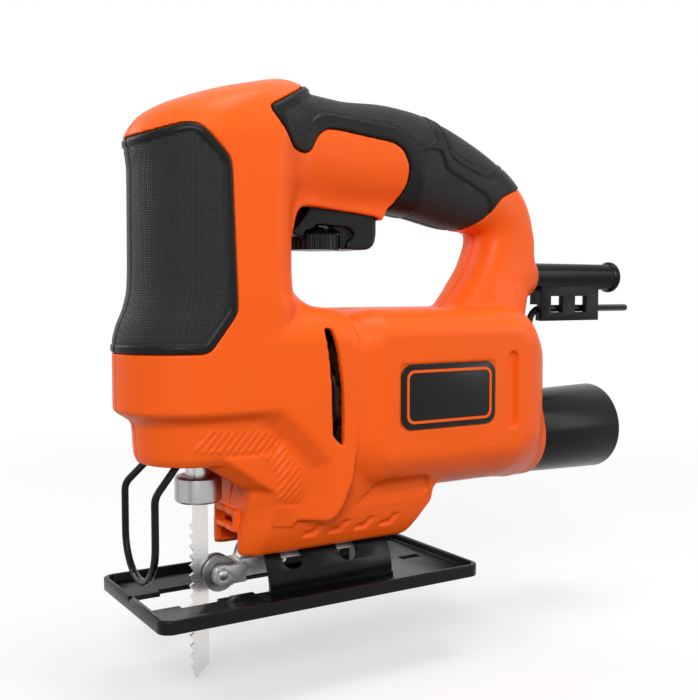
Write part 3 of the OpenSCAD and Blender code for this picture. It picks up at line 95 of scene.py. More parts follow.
class Graph:
    """A node tree, with short calls for the nodes that this script needs."""

    def __init__(self, tree):
        self.nodes, self.link = tree.nodes, tree.links.new

    def coords(self):
        return self.nodes.new("ShaderNodeTexCoord").outputs["Object"]

    def noise(self, scale, detail=3.0, rough=0.5, coords=None):
        texture = self.nodes.new("ShaderNodeTexNoise")
        for name, value in (("Scale", scale), ("Detail", detail), ("Roughness", rough)):
            texture.inputs[name].default_value = value
        self.link(coords or self.coords(), texture.inputs["Vector"])
        return texture.outputs["Fac"]

    def carry(self, value, low, high, from_low=0.0, from_high=1.0):
        """A value carried from one range to another."""
        ramp = self.nodes.new("ShaderNodeMapRange")
        limits = {"From Min": from_low, "From Max": from_high, "To Min": low, "To Max": high}
        for name, limit in limits.items():
            ramp.inputs[name].default_value = limit
        self.link(value, ramp.inputs["Value"])
        return ramp.outputs["Result"]

    def blend(self, a, b, share):
        """A colour between a and b."""
        mix = self.nodes.new("ShaderNodeMix")
        mix.data_type = "RGBA"
        mix.inputs["A"].default_value = (*a, 1)
        mix.inputs["B"].default_value = (*b, 1)
        self.link(share, mix.inputs["Factor"])
        return mix.outputs["Result"]

    def combine(self, operation, a, b):
        math_node = self.nodes.new("ShaderNodeMath")
        math_node.operation = operation
        self.link(a, math_node.inputs[0])
        self.link(b, math_node.inputs[1])
        return math_node.outputs[0]

    def seen(self):
        """1 where the camera sees the place, directly, in a reflection or through something."""
        path = self.nodes.new("ShaderNodeLightPath").outputs
        direct = self.combine("MAXIMUM", path["Is Camera Ray"], path["Is Glossy Ray"])
        return self.combine("MAXIMUM", direct, path["Is Transmission Ray"])


class Finish(Graph):
    """A material; each relief that it is given lies on the ones before."""

    def __init__(self, name, **values):
        self.material = bpy.data.materials.new(name)
        self.material.use_nodes = True
        super().__init__(self.material.node_tree)
        self.shader = self.nodes["Principled BSDF"]
        self.under = None
        for socket, value in values.items():
            self.shader.inputs[socket.replace("_", " ")].default_value = value

    def colour(self, colour, low, high, marks):
        """Two shades of one colour, mixed by the marks; low and high are shares of it."""
        shades = [[min(1, c * share) for c in colour] for share in (low, high)]
        self.link(self.blend(*shades, marks), self.shader.inputs["Base Color"])

    def rough(self, marks, low, high):
        self.link(self.carry(marks, low, high), self.shader.inputs["Roughness"])

    def relief(self, height, strength, distance):
        bump = self.nodes.new("ShaderNodeBump")
        bump.inputs["Strength"].default_value = strength
        bump.inputs["Distance"].default_value = distance
        self.link(height, bump.inputs["Height"])
        if self.under:
            self.link(self.under, bump.inputs["Normal"])
        self.under = bump.outputs["Normal"]
        self.link(self.under, self.shader.inputs["Normal"])


# ------------------------------------------------------------------ camera, floor and light


def add_camera():
    cam = bpy.data.objects.new("camera", bpy.data.cameras.new("camera"))
    bpy.context.scene.collection.objects.link(cam)
    turn, fall = math.radians(-31.804), math.radians(3.438)
    forward = Vector((-math.sin(turn) * math.cos(fall), math.cos(turn) * math.cos(fall), -math.sin(fall)))
    cam.location = (-0.144635, -0.342425, 0.117727)
    cam.rotation_euler = forward.to_track_quat("-Z", "Y").to_euler()
    cam.data.lens = 49.97
    cam.data.sensor_width = 36.0
    cam.data.clip_start = 0.01
    bpy.context.scene.camera = cam


def add_floor():
    half = 6.0
    level = (extent("saw_blade", Z)[0] - 3.5) * MM  # just under the blade's tip
    corners = [(-half, -half, level), (half, -half, level), (half, half, level), (-half, half, level)]
    mesh = bpy.data.meshes.new("floor")
    mesh.from_pydata(corners, [], [(0, 1, 2, 3)])
    paper = Finish("floor_paper", Roughness=0.9)
    floor = new_object("floor", mesh, paper.material)
    # The paper is lit from within for the camera, more so away from the object, where it ends in white
    seen = paper.seen()
    paper.link(paper.blend((0.22, 0.22, 0.22), (0.9, 0.9, 0.9), seen), paper.shader.inputs["Base Color"])
    distance = paper.nodes.new("ShaderNodeVectorMath")
    distance.operation = "LENGTH"
    paper.link(paper.coords(), distance.inputs[0])
    share = paper.carry(distance.outputs["Value"], 0.45, 1.0, 0.12, 0.75)
    mix = paper.nodes.new("ShaderNodeMixShader")
    paper.link(paper.combine("MULTIPLY", share, seen), mix.inputs["Fac"])
    paper.link(paper.shader.outputs["BSDF"], mix.inputs[1])
    paper.link(paper.nodes.new("ShaderNodeEmission").outputs["Emission"], mix.inputs[2])
    paper.link(mix.outputs["Shader"], paper.nodes["Material Output"].inputs["Surface"])


# Place, width, height and power of each lamp; all face one point in the saw
LAMPS = {
    "key": ((-0.5, -0.8, 0.6), 0.3, 0.4, 6.3),
    "top": ((0.15, -0.15, 1.0), 0.35, 0.5, 3.5),
    "side": ((0.8, -0.6, 0.4), 0.2, 0.6, 1.6),
    "rim": ((-0.5, 0.7, 0.5), 0.3, 0.4, 2.0),
}


def add_light():
    world = bpy.data.worlds.new("studio")
    bpy.context.scene.world = world
    world.use_nodes = True
    sky = Graph(world.node_tree)
    back = sky.nodes["Background"]
    sky.link(sky.carry(sky.seen(), 0.5, 1.0), back.inputs["Strength"])
    back.inputs["Color"].default_value = (1, 1, 1, 1)
    target = Vector((0.06, 0, 0.09))
    for name, (place, width, height, power) in LAMPS.items():
        data = bpy.data.lights.new(name, "AREA")
        data.shape = "RECTANGLE"
        data.size, data.size_y = width, height
        data.energy = power
        lamp = bpy.data.objects.new(name, data)
        lamp.location = place
        lamp.rotation_euler = (target - Vector(place)).to_track_quat("-Z", "Y").to_euler()
        bpy.context.scene.collection.objects.link(lamp)


# ------------------------------------------------------------------ materials


def moulded(name, colour, rough=0.42, grain=0.05, spread=0.06, gloss=0.5):
    """Moulded plastic: fine spark-eroded grain, slightly uneven gloss and tone."""
    plastic = Finish(name, Specular_IOR_Level=gloss)
    plastic.colour(colour, 1 - spread, 1 + spread, plastic.noise(28.0, 4.0))
    plastic.rough(plastic.noise(90.0), rough - 0.05, rough + 0.06)
    plastic.relief(plastic.noise(2600.0, 2.0), grain, 0.0002)
    return plastic.material


def rubber(name, colour, rough, gloss, dots=False):
    """Soft overmoulded grip; with dots it carries the fine raised pattern of the palm fields."""
    grip = Finish(name, Specular_IOR_Level=gloss)
    grip.colour(colour, 0.85, 1.2, grip.noise(40.0, 4.0))
    grip.rough(grip.noise(120.0), rough, rough + 0.12)
    grip.relief(grip.noise(3000.0, 2.0), 0.12, 0.0002)
    if dots:
        spot = grip.nodes.new("ShaderNodeTexVoronoi")
        spot.inputs["Scale"].default_value = 1150.0
        spot.inputs["Randomness"].default_value = 0.0
        grip.link(grip.coords(), spot.inputs["Vector"])
        grip.relief(grip.carry(spot.outputs["Distance"], 1.0, 0.0, 0.2, 0.6), 0.6, 0.0004)
    return grip.material


def metal(name, colour, rough=0.3, streak=None, grain=0.05):
    """Bare metal with fine unevenness; streak stretches it along one axis, as grinding or rolling does."""
    bare = Finish(name, Metallic=1.0)
    coords = bare.coords()
    if streak:
        mapping = bare.nodes.new("ShaderNodeMapping")
        mapping.inputs["Scale"].default_value = streak
        bare.link(coords, mapping.inputs["Vector"])
        coords = mapping.outputs["Vector"]
    marks = bare.noise(300.0, 5.0, 0.6, coords)
    bare.colour(colour, 0.86, 1.1, marks)
    bare.rough(marks, rough - 0.08, rough + 0.12)
    bare.relief(marks, grain, 0.0002)
    return bare.material


def cast_metal(name, colour):
    cast = Finish(name, Metallic=0.9)
    blotch = cast.noise(260.0, 6.0, 0.65)
    cast.colour(colour, 0.7, 1.15, blotch)
    cast.rough(blotch, 0.34, 0.6)
    cast.relief(cast.noise(900.0, 4.0), 0.35, 0.0004)
    return cast.material


def coated_steel(name, colour, rough=0.24):
    """Black paint over pressed sheet: satin, with a faint orange-peel surface."""
    paint = Finish(name, Specular_IOR_Level=0.16)
    marks = paint.noise(60.0, 4.0)
    paint.colour(colour, 0.8, 1.35, marks)
    paint.rough(marks, rough - 0.05, rough + 0.1)
    paint.relief(paint.noise(700.0, 2.0), 0.08, 0.0003)
    return paint.material


def wound_wire(name):
    wire = Finish(name, Metallic=0.6, Roughness=0.35)
    wave = wire.nodes.new("ShaderNodeTexWave")
    wave.bands_direction = "Z"
    wave.inputs["Scale"].default_value = 420.0
    wire.link(wire.coords(), wave.inputs["Vector"])
    turns = wave.outputs["Fac"]
    # Painted shade and painted highlight: the base colour runs dark in the grooves between the turns and
    # light on their crowns, on top of the real relief of the turns
    wire.link(wire.blend((0.07, 0.022, 0.008), (0.2, 0.075, 0.03), turns), wire.shader.inputs["Base Color"])
    wire.relief(turns, 0.5, 0.0004)
    return wire.material


M = {
    "orange_shell": moulded(
        "orange_shell", (0.95, 0.118, 0.006), rough=0.4, grain=0.03, spread=0.03, gloss=0.2
    ),
    "soft_grip": rubber("soft_grip", (0.007, 0.007, 0.0075), rough=0.32, gloss=0.14),
    "grip_dots": rubber("grip_dots", (0.017, 0.016, 0.0155), rough=0.4, gloss=0.17, dots=True),
    "black_plastic": moulded("black_plastic", (0.006, 0.006, 0.0065), rough=0.3, gloss=0.2),
    "gloss_black": moulded("gloss_black", (0.002, 0.002, 0.0022), rough=0.26, grain=0.01, gloss=0.14),
    "grey_plastic": moulded("grey_plastic", (0.24, 0.25, 0.26)),
    "carbon": moulded("carbon", (0.04, 0.04, 0.045), rough=0.6, grain=0.2),
    "black_steel": coated_steel("black_steel", (0.003, 0.003, 0.0032)),
    "steel": metal("steel", (0.62, 0.62, 0.62), 0.28),
    "dark_steel": metal("dark_steel", (0.2, 0.2, 0.205), 0.35),
    "zinc": cast_metal("zinc", (0.55, 0.55, 0.54)),
    "aluminium": cast_metal("aluminium", (0.6, 0.6, 0.6)),
    "brass": metal("brass", (0.6, 0.42, 0.16), 0.3),
    "copper": wound_wire("copper"),
    "blade_steel": metal("blade_steel", (0.72, 0.71, 0.7), 0.24, streak=(1, 1, 12)),
    "turned_steel": metal("turned_steel", (0.42, 0.42, 0.425), 0.3, streak=(0.3, 0.3, 10), grain=0.25),
}
LOOKS = {"saw_blade": "blade_steel", "blade_clamp": "turned_steel"}  # nodes that differ from their slot


# ------------------------------------------------------------------ pieces and their meshes


def new_object(name, mesh, *materials):
    piece = bpy.data.objects.new(name, mesh)
    bpy.context.scene.collection.objects.link(piece)
    for material in materials:
        mesh.materials.append(material)
    return piece


def face_outwards(mesh):
    bm = bmesh.new()
    bm.from_mesh(mesh)
    bmesh.ops.recalc_face_normals(bm, faces=bm.faces)
    bm.to_mesh(mesh)
    bm.free()


def shade_smooth(mesh, sharp_over=None):
    """Smooth shading, with the edges sharp that turn by more than an angle in degrees."""
    mesh.polygons.foreach_set("use_smooth", np.ones(len(mesh.polygons), bool))
    if sharp_over:
        mesh.set_sharp_from_angle(angle=math.radians(sharp_over))


def body_of(node):
    bodies = frame["record"]["behaviour"]["bodies"]
    return next(body for body, names in bodies.items() if node in names)


def add_piece(piece, node):
    """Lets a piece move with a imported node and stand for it."""
    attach(piece, body_of(node))
    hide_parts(node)


# ------------------------------------------------------------------ sampled shapes
#
# The moulded housing and its soft grips are fields: the distance in millimetres from each point of a
# grid to the surface, below zero inside. A minimum joins two shapes, a maximum cuts one by the other.

GRID_START = (-34.0, -1.5 * CELL, 14.5)
GRID_END = (171.0, 33.2, 202.0)
GX, GY, GZ = np.ix_(*[np.arange(a, b, CELL, dtype=np.float32) for a, b in zip(GRID_START, GRID_END)])
CORNER = [float(axis.flat[0]) for axis in (GX, GY, GZ)]  # the first point of the grid
SIDE_X, SIDE_Z = GX[:, 0, :], GZ[0, :, :]  # the grid in the side view
AY = np.abs(GY)
FAR = 40  # beyond the housing's sides


def smooth_rows(rows, at):
    """The columns of rows at the places `at` of the first column, without overshoot between rows."""
    rows = np.asarray(rows, float)
    x, v = rows[:, 0], rows[:, 1:]
    slope = np.diff(v, axis=0) / np.diff(x)[:, None]
    tangent = np.zeros_like(v)
    product = slope[:-1] * slope[1:]
    total = np.where(product > 0, slope[:-1] + slope[1:], 1.0)
    tangent[1:-1] = np.where(product > 0, 2 * product / total, 0.0)
    tangent[0], tangent[-1] = slope[0], slope[-1]
    at = np.clip(np.asarray(at, float), x[0], x[-1])
    i = np.clip(np.searchsorted(x, at, side="right") - 1, 0, len(x) - 2)
    width = (x[i + 1] - x[i])[..., None]
    t = (at - x[i])[..., None] / width
    value = (
        v[i] * (1 + 2 * t) * (1 - t) ** 2 + v[i + 1] * t**2 * (3 - 2 * t)
        + width * (tangent[i] * t * (1 - t) ** 2 - tangent[i + 1] * t**2 * (1 - t))
    )
    return [value[..., k].astype(np.float32) for k in range(v.shape[1])]


def soft_min(a, b, k):
    h = np.clip(0.5 + 0.5 * (b - a) / k, 0, 1)
    return b + (a - b) * h - k * h * (1 - h)


def soft_max(a, b, k):
    return -soft_min(-a, -b, k)


def ramp(value, low, high):
    """0 below low, 1 above high and straight between; low may be the larger."""
    return np.clip((value - low) / (high - low), 0, 1)


def even(field):
    """Divides a field by its steepness, so that its values are distances near the surface."""
    slopes = np.gradient(field, CELL)
    steepness = np.sqrt(sum(s * s for s in slopes))
    return field / np.clip(steepness, 0.35, 6.0)


def rounded(qa, qb, r):
    """Distance to a rounded corner from the distances past its two arc centres."""
    return np.hypot(np.maximum(qa, 0), np.maximum(qb, 0)) + np.minimum(np.maximum(qa, qb), 0) - r


def between(place, low, high):
    """Distance to a layer, below zero inside it."""
    return np.maximum(low - place, place - high)


def slab(x0, x1, y1, z0, z1, y0=None):
    """Box between levels, across the seam unless y0 says where it starts on either side."""
    across = AY - y1 if y0 is None else between(AY, y0, y1)
    return np.maximum(np.maximum(between(GX, x0, x1), across), between(GZ, z0, z1))


def rod_x(x0, x1, z, r):
    return np.maximum(np.hypot(GY, GZ - z) - r, between(GX, x0, x1))


def rod_y(x, z, y0, y1, r):
    return np.maximum(np.hypot(GX - x, GZ - z) - r, between(GY, y0, y1))


def rod_z(x, z0, z1, r):
    return np.maximum(np.hypot(GX - x, GY) - r, between(GZ, z0, z1))


def near_segment(a, b):
    """Squared distance in the side view to the line from a to b."""
    (ax, az), (bx, bz) = a, b
    ex, ez = bx - ax, bz - az
    t = np.clip(((SIDE_X - ax) * ex + (SIDE_Z - az) * ez) / max(ex * ex + ez * ez, 1e-9), 0, 1)
    return (SIDE_X - ax - t * ex) ** 2 + (SIDE_Z - az - t * ez) ** 2


def side_gap(curve):
    """Distance, in the side view, from each place to an open curve."""
    best = np.full((GX.size, GZ.size), 1e9)
    for a, b in zip(curve, curve[1:]):
        best = np.minimum(best, near_segment(a, b))
    return np.sqrt(best)


def outline(points, turns=2, inset=0.0, soft=1.1):
    """Distance, in the side view, to a closed outline whose corners are softened `turns` times."""
    pts = np.asarray(points, float)
    for _ in range(turns):
        nxt = np.roll(pts, -1, axis=0)
        length = np.linalg.norm(nxt - pts, axis=1, keepdims=True)
        cut = np.minimum(0.25, soft / length)
        pts = np.stack([pts + (nxt - pts) * cut, nxt + (pts - nxt) * cut], axis=1).reshape(-1, 2)
    inside = np.zeros((GX.size, GZ.size), bool)
    for (ax, az), (bx, bz) in zip(pts, np.roll(pts, -1, axis=0)):
        if bz != az:
            crossing = SIDE_X < ax + (SIDE_Z - az) * (bx - ax) / (bz - az)
            inside ^= ((az > SIDE_Z) != (bz > SIDE_Z)) & crossing
    dist = side_gap(np.concatenate([pts, pts[:1]])) * np.where(inside, -1, 1) + inset
    return dist[:, None, :].astype(np.float32)


def step_to(value, width=0.5):
    """0 outside an outline and 1 inside it, with a soft edge."""
    t = np.clip(0.5 - value / width, 0, 1)
    return t * t * (3 - 2 * t)


# ------------------------------------------------------------------ outlines and rows

# Level, front, rear, half width, rear corner, nose length
HEAD = [
    (54.3, -22.9, 30, 20.3, 6, 20), (57.5, -24.2, 30, 22, 12, 22), (68.6, -25.1, 32, 22.8, 12, 24),
    (70, -26, 32.5, 23.2, 12, 25), (75, -31.8, 33, 27, 12, 30), (98, -31.8, 33, 27, 12, 30),
    (104.5, -30.4, 33, 27, 12, 29), (111.5, -27.5, 33.5, 27, 12, 28), (118.5, -25.8, 31.5, 27, 12, 27),
    (127, -25.4, 31, 27, 12, 27), (162, -25.2, 31, 27, 12, 27), (173, -26.4, 33, 27, 12, 28),
    (180, -22.6, 38, 26, 15, 28), (185, -16, 41, 24.4, 16, 26), (190, -4.5, 43, 22, 15, 22),
    (194, 7.5, 42, 18, 9, 17), (197, 19, 40, 13, 6, 11), (199.6, 29, 37, 7, 5, 5),
]
# Side view of the ring between the head and the barrel, sloping down to the sunk band along its front
RING_FRONT = [
    (-14, 125), (-14, 74.6), (17, 74.4), (23.2, 73.2), (29.5, 67.2), (35.9, 60.4), (42.5, 53),
    (42.8, 41.4), (42.4, 29), (70, 29), (70, 125),
]
RING_REAR = [
    (0, 112.4), (46, 112.2), (51.5, 111.4), (54.6, 108.5), (55.5, 97), (56, 76), (54.7, 59),
    (52.6, 45.2), (47.9, 35.2), (43, 30), (0, 30),
]
# Place along the saw, half width, underside, top, lower and upper corner
RING = [
    (16, 27, 25, 111, 8, 14), (30, 27.7, 25, 112.6, 8, 14), (40, 28.4, 25, 112.4, 8, 14),
    (48, 28.4, 25, 111.8, 8, 14), (57, 27.9, 25, 110.2, 8, 14),
]
BARREL = [
    (40, 27.2, 38.5, 107.6, 22, 14), (55, 27.3, 37.5, 107.8, 23, 14), (61, 29.2, 36, 109.8, 23, 15),
    (69, 31.8, 35.5, 111, 24, 15.5), (132, 31.8, 35.5, 111, 24, 15.5), (144, 29.3, 36, 109.5, 23, 14),
    (151, 26, 38, 105, 21, 15), (156, 21, 42.5, 98, 18, 15), (159.6, 13.5, 50.5, 88, 12, 12),
]
# Centre and direction of the handle's path, half height and half width
HANDLE = [
    (0, 173.4, 0, 21, 19.5), (26, 173.4, 0, 21, 19.5), (40, 173.7, 0, 22.1, 19),
    (62, 172.7, 0, 21.4, 18), (76.5, 173, 0, 21.6, 18), (90, 171.8, -8, 21.7, 18),
    (103, 169, -16, 21, 17.8), (115, 165, -27, 20.2, 17.2), (127, 160, -41, 19.5, 16.4),
    (137.3, 155.2, -52, 17.6, 15.75), (144.6, 149.6, -67, 15.6, 14.5), (148, 141, -90, 14.8, 13.5),
    (146.2, 130.5, -93, 15.8, 13.5), (141, 118.5, -97, 17.6, 14.1), (136.5, 109, -98, 20, 16.5),
    (135, 98, -98, 20, 13.5), (132, 80, -98, 20, 13.5),
]
# Level, front, front half width, end of the chamfer, half width, rear
SKIRT = [
    (17, 11.4, 10.5, 18, 14, 85.5), (18.5, 11.4, 12, 18.5, 15.5, 87.5), (27, 11.8, 13.2, 20, 18.7, 94),
    (31.5, 12.6, 14, 21, 19.5, 97.2), (36, 13, 15, 22, 20.5, 97.6), (39, 13.5, 16, 23, 21.5, 99.6),
    (44, 14.3, 17, 24, 22.9, 102), (50, 14.3, 18.2, 24.4, 23.5, 104), (58, 14.6, 18.5, 24.5, 23.2, 104),
    (67, 20, 18.5, 30, 22.2, 104),
]
# The same for the two webs that carry the skirt's front up to the head's underside
FRONT_WEB = [
    (38, 14.2, 16, 23, 21.2, 40), (42, 13.8, 16.2, 22, 22, 40), (46, 8, 16.4, 16.4, 22.4, 40),
    (50, 2.2, 16.6, 11, 22.6, 40), (54.4, -4.5, 16.8, 5, 22.7, 40), (57, -8, 17, 2, 22.7, 40),
]
# Side view of the two soft grips
FRONT_GRIP = [
    (-60, 171), (-26, 172.8), (-13, 176.6), (-9.5, 176.4), (-7, 174.8), (1.8, 165.3), (2.6, 162),
    (4.5, 112), (4, 109.5), (-5.6, 97), (-8, 95.8), (-60, 95.3),
]
HANDLE_GRIP = [
    (19, 185), (28, 172.2), (30, 170.7), (37, 170), (39.5, 171.6), (42, 177), (46, 180), (51, 180.4),
    (78, 177.6), (83, 175), (86, 169), (86, 163), (84, 157), (82, 154), (82, 140), (112, 137),
    (114.5, 142.4), (123, 145.5), (128, 149), (132, 153.5), (136, 158.6), (143, 161.6), (170, 168),
    (120, 215), (52, 215), (43.5, 199), (36, 194.2),
]
# Textured fields of the handle grip: the long one on top, the palm's at the rear, and the fingers'
TOP_PANEL = [
    (24.9, 183.1), (29.4, 176), (35, 175.4), (36.9, 177.4), (40, 183.1), (44.2, 185.9), (48.5, 186.4),
    (63, 185.5), (79.6, 183.8), (83.3, 182.4), (86, 180.2), (87.7, 177.9), (90.7, 176.5), (96, 177.5),
    (99.5, 181), (99.5, 188), (101, 215), (54, 215), (42, 194),
]
REAR_PANEL = [
    (107, 215), (106.4, 190), (106.7, 183), (108.5, 176), (110.5, 174.2), (117.6, 171.6), (127.6, 169),
    (135.7, 172.5), (160, 184), (145, 215),
]
REAR_EDGE = [
    (102, 215), (102.2, 189.3), (103.6, 186.9), (105, 181.2), (106.9, 174.1), (109, 171.8),
    (117.4, 168.6), (126.7, 165.9), (135.8, 169.3), (160, 180), (145, 215),
]
FINGER_PANEL = [
    (92.1, 175.4), (101.1, 176.1), (104.1, 168.1), (126.1, 159.1), (129.2, 155), (130.2, 146.6),
    (128, 138), (94, 140), (93.9, 159.4),
]
TRIGGER_WEB = [
    (26, 137), (32.6, 137.7), (33.6, 141.6), (34.4, 145.5), (35.8, 149.3), (39, 150.8), (45.9, 150.6),
    (56.1, 149.8), (65.8, 149), (74.5, 147.9), (76.4, 146.2), (77.4, 147.5), (79.4, 151.6), (82, 156),
    (82, 162), (26, 162),
]
# Textured band that turns from the head down the skirt, with a bare pad at its foot
RIBBED_BAND = [
    (-10.9, 60), (14, 58.2), (17.7, 55.3), (22, 48.6), (21.6, 39.6), (32.6, 38.4), (31.6, 50.5),
    (24, 60.9), (19, 66.1), (-7.3, 67.8),
]
BARE_PAD = [(21.3, 28.9), (31.5, 27.5), (32.2, 36.1), (22, 37.3)]
VENT = [
    (39.6, 104.1), (43.6, 103.7), (46.2, 94), (48, 82), (48.4, 70), (48.2, 58), (43, 62.8),
    (42.7, 80.6), (41.5, 93),
]
SUNK_PANEL = [(58.2, 32.4), (89.3, 32.4), (93.4, 35.6), (93.4, 38), (90, 43), (68.2, 43), (62.2, 36.5)]
# One of the slanted notches at the foot of the skirt, from its lower front corner
NOTCH = [(0, 0), (5.8, 0), (9.4, 4.4), (6.4, 4.4), (4.2, 2), (1.2, 2)]
NOTCH_PLACE, NOTCH_PITCH, NOTCH_COUNT = (35.4, 22.8), 11.9, 4
# Side view of the trigger, and of the hollow over its dial
TRIGGER = [
    (36, 141), (37.5, 139.6), (42, 138.6), (44, 135.6), (66.5, 134.5), (72, 134.7), (74.6, 136.8),
    (75.5, 140.5), (75.5, 156), (44, 156), (43.2, 149), (39.5, 144.5),
]
DIAL_ARCH = [
    (40, 133), (41.6, 141.8), (45.5, 142.3), (47, 144.4), (62.5, 143.6), (65.5, 140.5), (61.5, 137.5),
    (60.8, 133),
]
# Place along the saw, level and seat of each housing screw's head
SCREWS = [
    (-14, 178, 12), (18, 151, 12), (-17, 66, 12), (97, 171, 10), (148, 141, 7), (141, 99.5, 12),
    (100, 41.5, 12), (26, 43, 12),
]
WALL = 2.8
HEAD_FOOT, HEAD_TOP = HEAD[0][0], HEAD[-1][0]
# Window in the skirt's front and the raised frame round it: front, rear, half width, lowest, highest
WINDOW = (5, 14.5, 7.5, 28, 32.2)
WINDOW_FRAME = (10.5, 14.3, 9.6, 25.9, 34.4)
SCREW_HOLE, SCREW_HEAD = 1.95, 3.5  # radii


# ------------------------------------------------------------------ form of the housing


def head_field():
    front, rear, half, corner, nose = [c[None, None, :] for c in smooth_rows(HEAD, GZ.ravel())]
    start = front + nose
    u, v = (GX - start) / nose, AY / half
    k0, k1 = np.hypot(u, v), np.hypot(u / nose, v / half)
    round_nose = k0 * (k0 - 1) / np.maximum(k1, 1e-4)
    block = rounded(GX - (rear - corner), AY - (half - corner), corner)
    plan = np.where(GX < start, round_nose, block)
    return soft_max(np.maximum(even(plan), HEAD_FOOT - GZ), GZ - HEAD_TOP, 1.5)


def box_field(rows, soft_end):
    columns = smooth_rows(rows, GX.ravel())
    half, low, top, corner_low, corner_top = [c[:, None, None] for c in columns]
    below = GZ < (low + top) / 2
    corner = np.where(below, corner_low, corner_top)
    past_edge = np.where(below, low + corner - GZ, GZ - (top - corner))
    section = rounded(AY - (half - corner), past_edge, corner)
    return soft_max(even(section), between(GX, rows[0][0], rows[-1][0]), soft_end)


def handle_field():
    """A tube between the outer and the inner line of the handle's side view."""
    rows = [(i, *row) for i, row in enumerate(HANDLE)]
    place = np.linspace(0, len(HANDLE) - 1, 140)
    cx, cz, turn, high, half = smooth_rows(rows, place)
    turn = np.radians(turn)
    across = np.stack([np.sin(-turn), np.cos(turn)], axis=1)
    centre = np.stack([cx, cz], axis=1)
    outer, inner = centre + across * high[:, None], centre - across * high[:, None]
    inside = outline(np.concatenate([outer, inner[::-1]]), 0)[:, 0, :] < 0
    to_outer, to_inner = side_gap(outer), side_gap(inner)
    near_outer = to_outer < to_inner
    to_outer = np.where(inside | ~near_outer, to_outer, -to_outer)
    to_inner = np.where(inside | near_outer, to_inner, -to_inner)
    rise = (to_inner - to_outer) / np.maximum(to_inner + to_outer, 1)
    # The half width at a place is the mean over the nearby part of the path
    total, weights = np.zeros_like(rise), np.zeros_like(rise)
    for i in range(0, len(place), 2):
        weight = np.exp(-np.sqrt((SIDE_X - cx[i]) ** 2 + (SIDE_Z - cz[i]) ** 2) / 4)
        total += weight * half[i]
        weights += weight
    half = (total / weights)[:, None, :]
    # The section is an oval that grows squarer in the rear leg
    power = 2.5 + 0.9 * ramp(GX, 112, 126) * ramp(GZ, 146, 132)
    ring = np.abs(rise)[:, None, :] ** power + (AY / half) ** power
    section = (np.maximum(ring, 1e-6) ** (1 / power) - 1) * 16
    return np.maximum(even(section.astype(np.float32)), np.maximum(26 - GX, 97 - GZ))


def ring_field():
    slope = (AY - 27 - 1.3 * ramp(GX, 16, 40) + 0.72 * outline(RING_FRONT, 1)) / 1.23
    return soft_max(soft_max(box_field(RING, 1.0), slope, 1.0), outline(RING_REAR, 1), 1.6)


def skirt_field(rows):
    columns = smooth_rows(rows, GZ.ravel())
    front, front_half, chamfer, half, rear = [c[None, None, :] for c in columns]
    run, rise = chamfer - front, half - front_half
    slope = ((AY - front_half) * run - (GX - front) * rise) / np.hypot(run, rise)
    side = soft_max(AY - half, slope, 0.7)
    plan = soft_max(soft_max(side, front - GX, 1.0), GX - rear, 3.0)
    return np.maximum(even(plan), between(GZ, rows[0][0], rows[-1][0]))


def sleeve_boss():
    """Round swelling of the rear leg that holds the cord sleeve."""
    (ax, az), (bx, bz), radius = (157, SLEEVE_Z), (143, SLEEVE_Z + 2), 11.5
    dx, dz = bx - ax, bz - az
    t = np.clip(((GX - ax) * dx + (GZ - az) * dz) / (dx * dx + dz * dz), 0, 1)
    return np.sqrt((GX - ax - t * dx) ** 2 + GY**2 + (GZ - az - t * dz) ** 2) - radius


def tube_socket():
    """Cone that widens towards the dust tube and sinks to its axis."""
    share = ramp(GX, 105, 148)
    radius = 12 + 7.6 * share
    centre = TUBE_Z + 2 - 2 * share
    return np.maximum((np.hypot(GY, GZ - centre) - radius) * 0.97, between(GX, 104, 160.5))


def outer_form():
    # The hollows between the shapes are wide round the hand gap and tight at the sunk band
    above_band = ramp(GZ, 88, 104) * ramp(AY, 25, 17)
    under_handle = ramp(GZ, 182, 160) * ramp(GX, 62, 46)
    leg_foot = ramp(GX, 112, 122) * ramp(GZ, 135, 125)
    form = soft_min(head_field(), ring_field(), 1.0 + 10 * above_band)
    barrel = soft_max(box_field(BARREL, 2.0), AY - 30.5, 0.8)  # with flat sides
    form = soft_min(form, barrel, 1.6)
    form = soft_min(form, handle_field(), 4.0 + 8 * under_handle - 1.5 * leg_foot)
    # Web between the head and the underside of the handle, on both sides of the trigger
    reach = np.interp(GX, (26, 36, 45, 56, 82), (15.5, 15.5, 13.7, 11.9, 11.5)).astype(np.float32)
    form = soft_min(form, soft_max(outline(TRIGGER_WEB), AY - reach, 1.0), 3.0)
    form = soft_min(form, sleeve_boss(), 3.5)
    form = soft_min(form, skirt_field(SKIRT), 1.2)
    form = soft_min(form, np.maximum(skirt_field(FRONT_WEB), 11.5 - AY), 0.6)
    return soft_min(form, tube_socket(), 6.0)


def moulded_details():
    """Raised and sunk details on the outside, in millimetres outwards."""
    side = (AY > 10).astype(np.float32)
    lean, pitch = 0.733, 2.4
    along = GX * math.cos(lean) - GZ * math.sin(lean)
    wave = np.clip(0.5 + 1.4 * np.cos(2 * math.pi * along / pitch), 0, 1)
    rise = 0.5 * side * wave * step_to(outline(RIBBED_BAND, 1), 0.8)
    rise = rise + 0.5 * side * step_to(outline(BARE_PAD, 2), 0.6)
    for i in range(NOTCH_COUNT):
        x, z = NOTCH_PLACE[0] + i * NOTCH_PITCH, NOTCH_PLACE[1]
        rise = rise - 0.9 * side * step_to(outline([(x + dx, z + dz) for dx, dz in NOTCH], 0), 0.8)
    # The panel's floor rises gently to its lower border
    return rise - 1.0 * side * ramp(GZ, 32, 36.5) * step_to(outline(SUNK_PANEL, 1), 0.8)


# ------------------------------------------------------------------ inside and openings of the housing


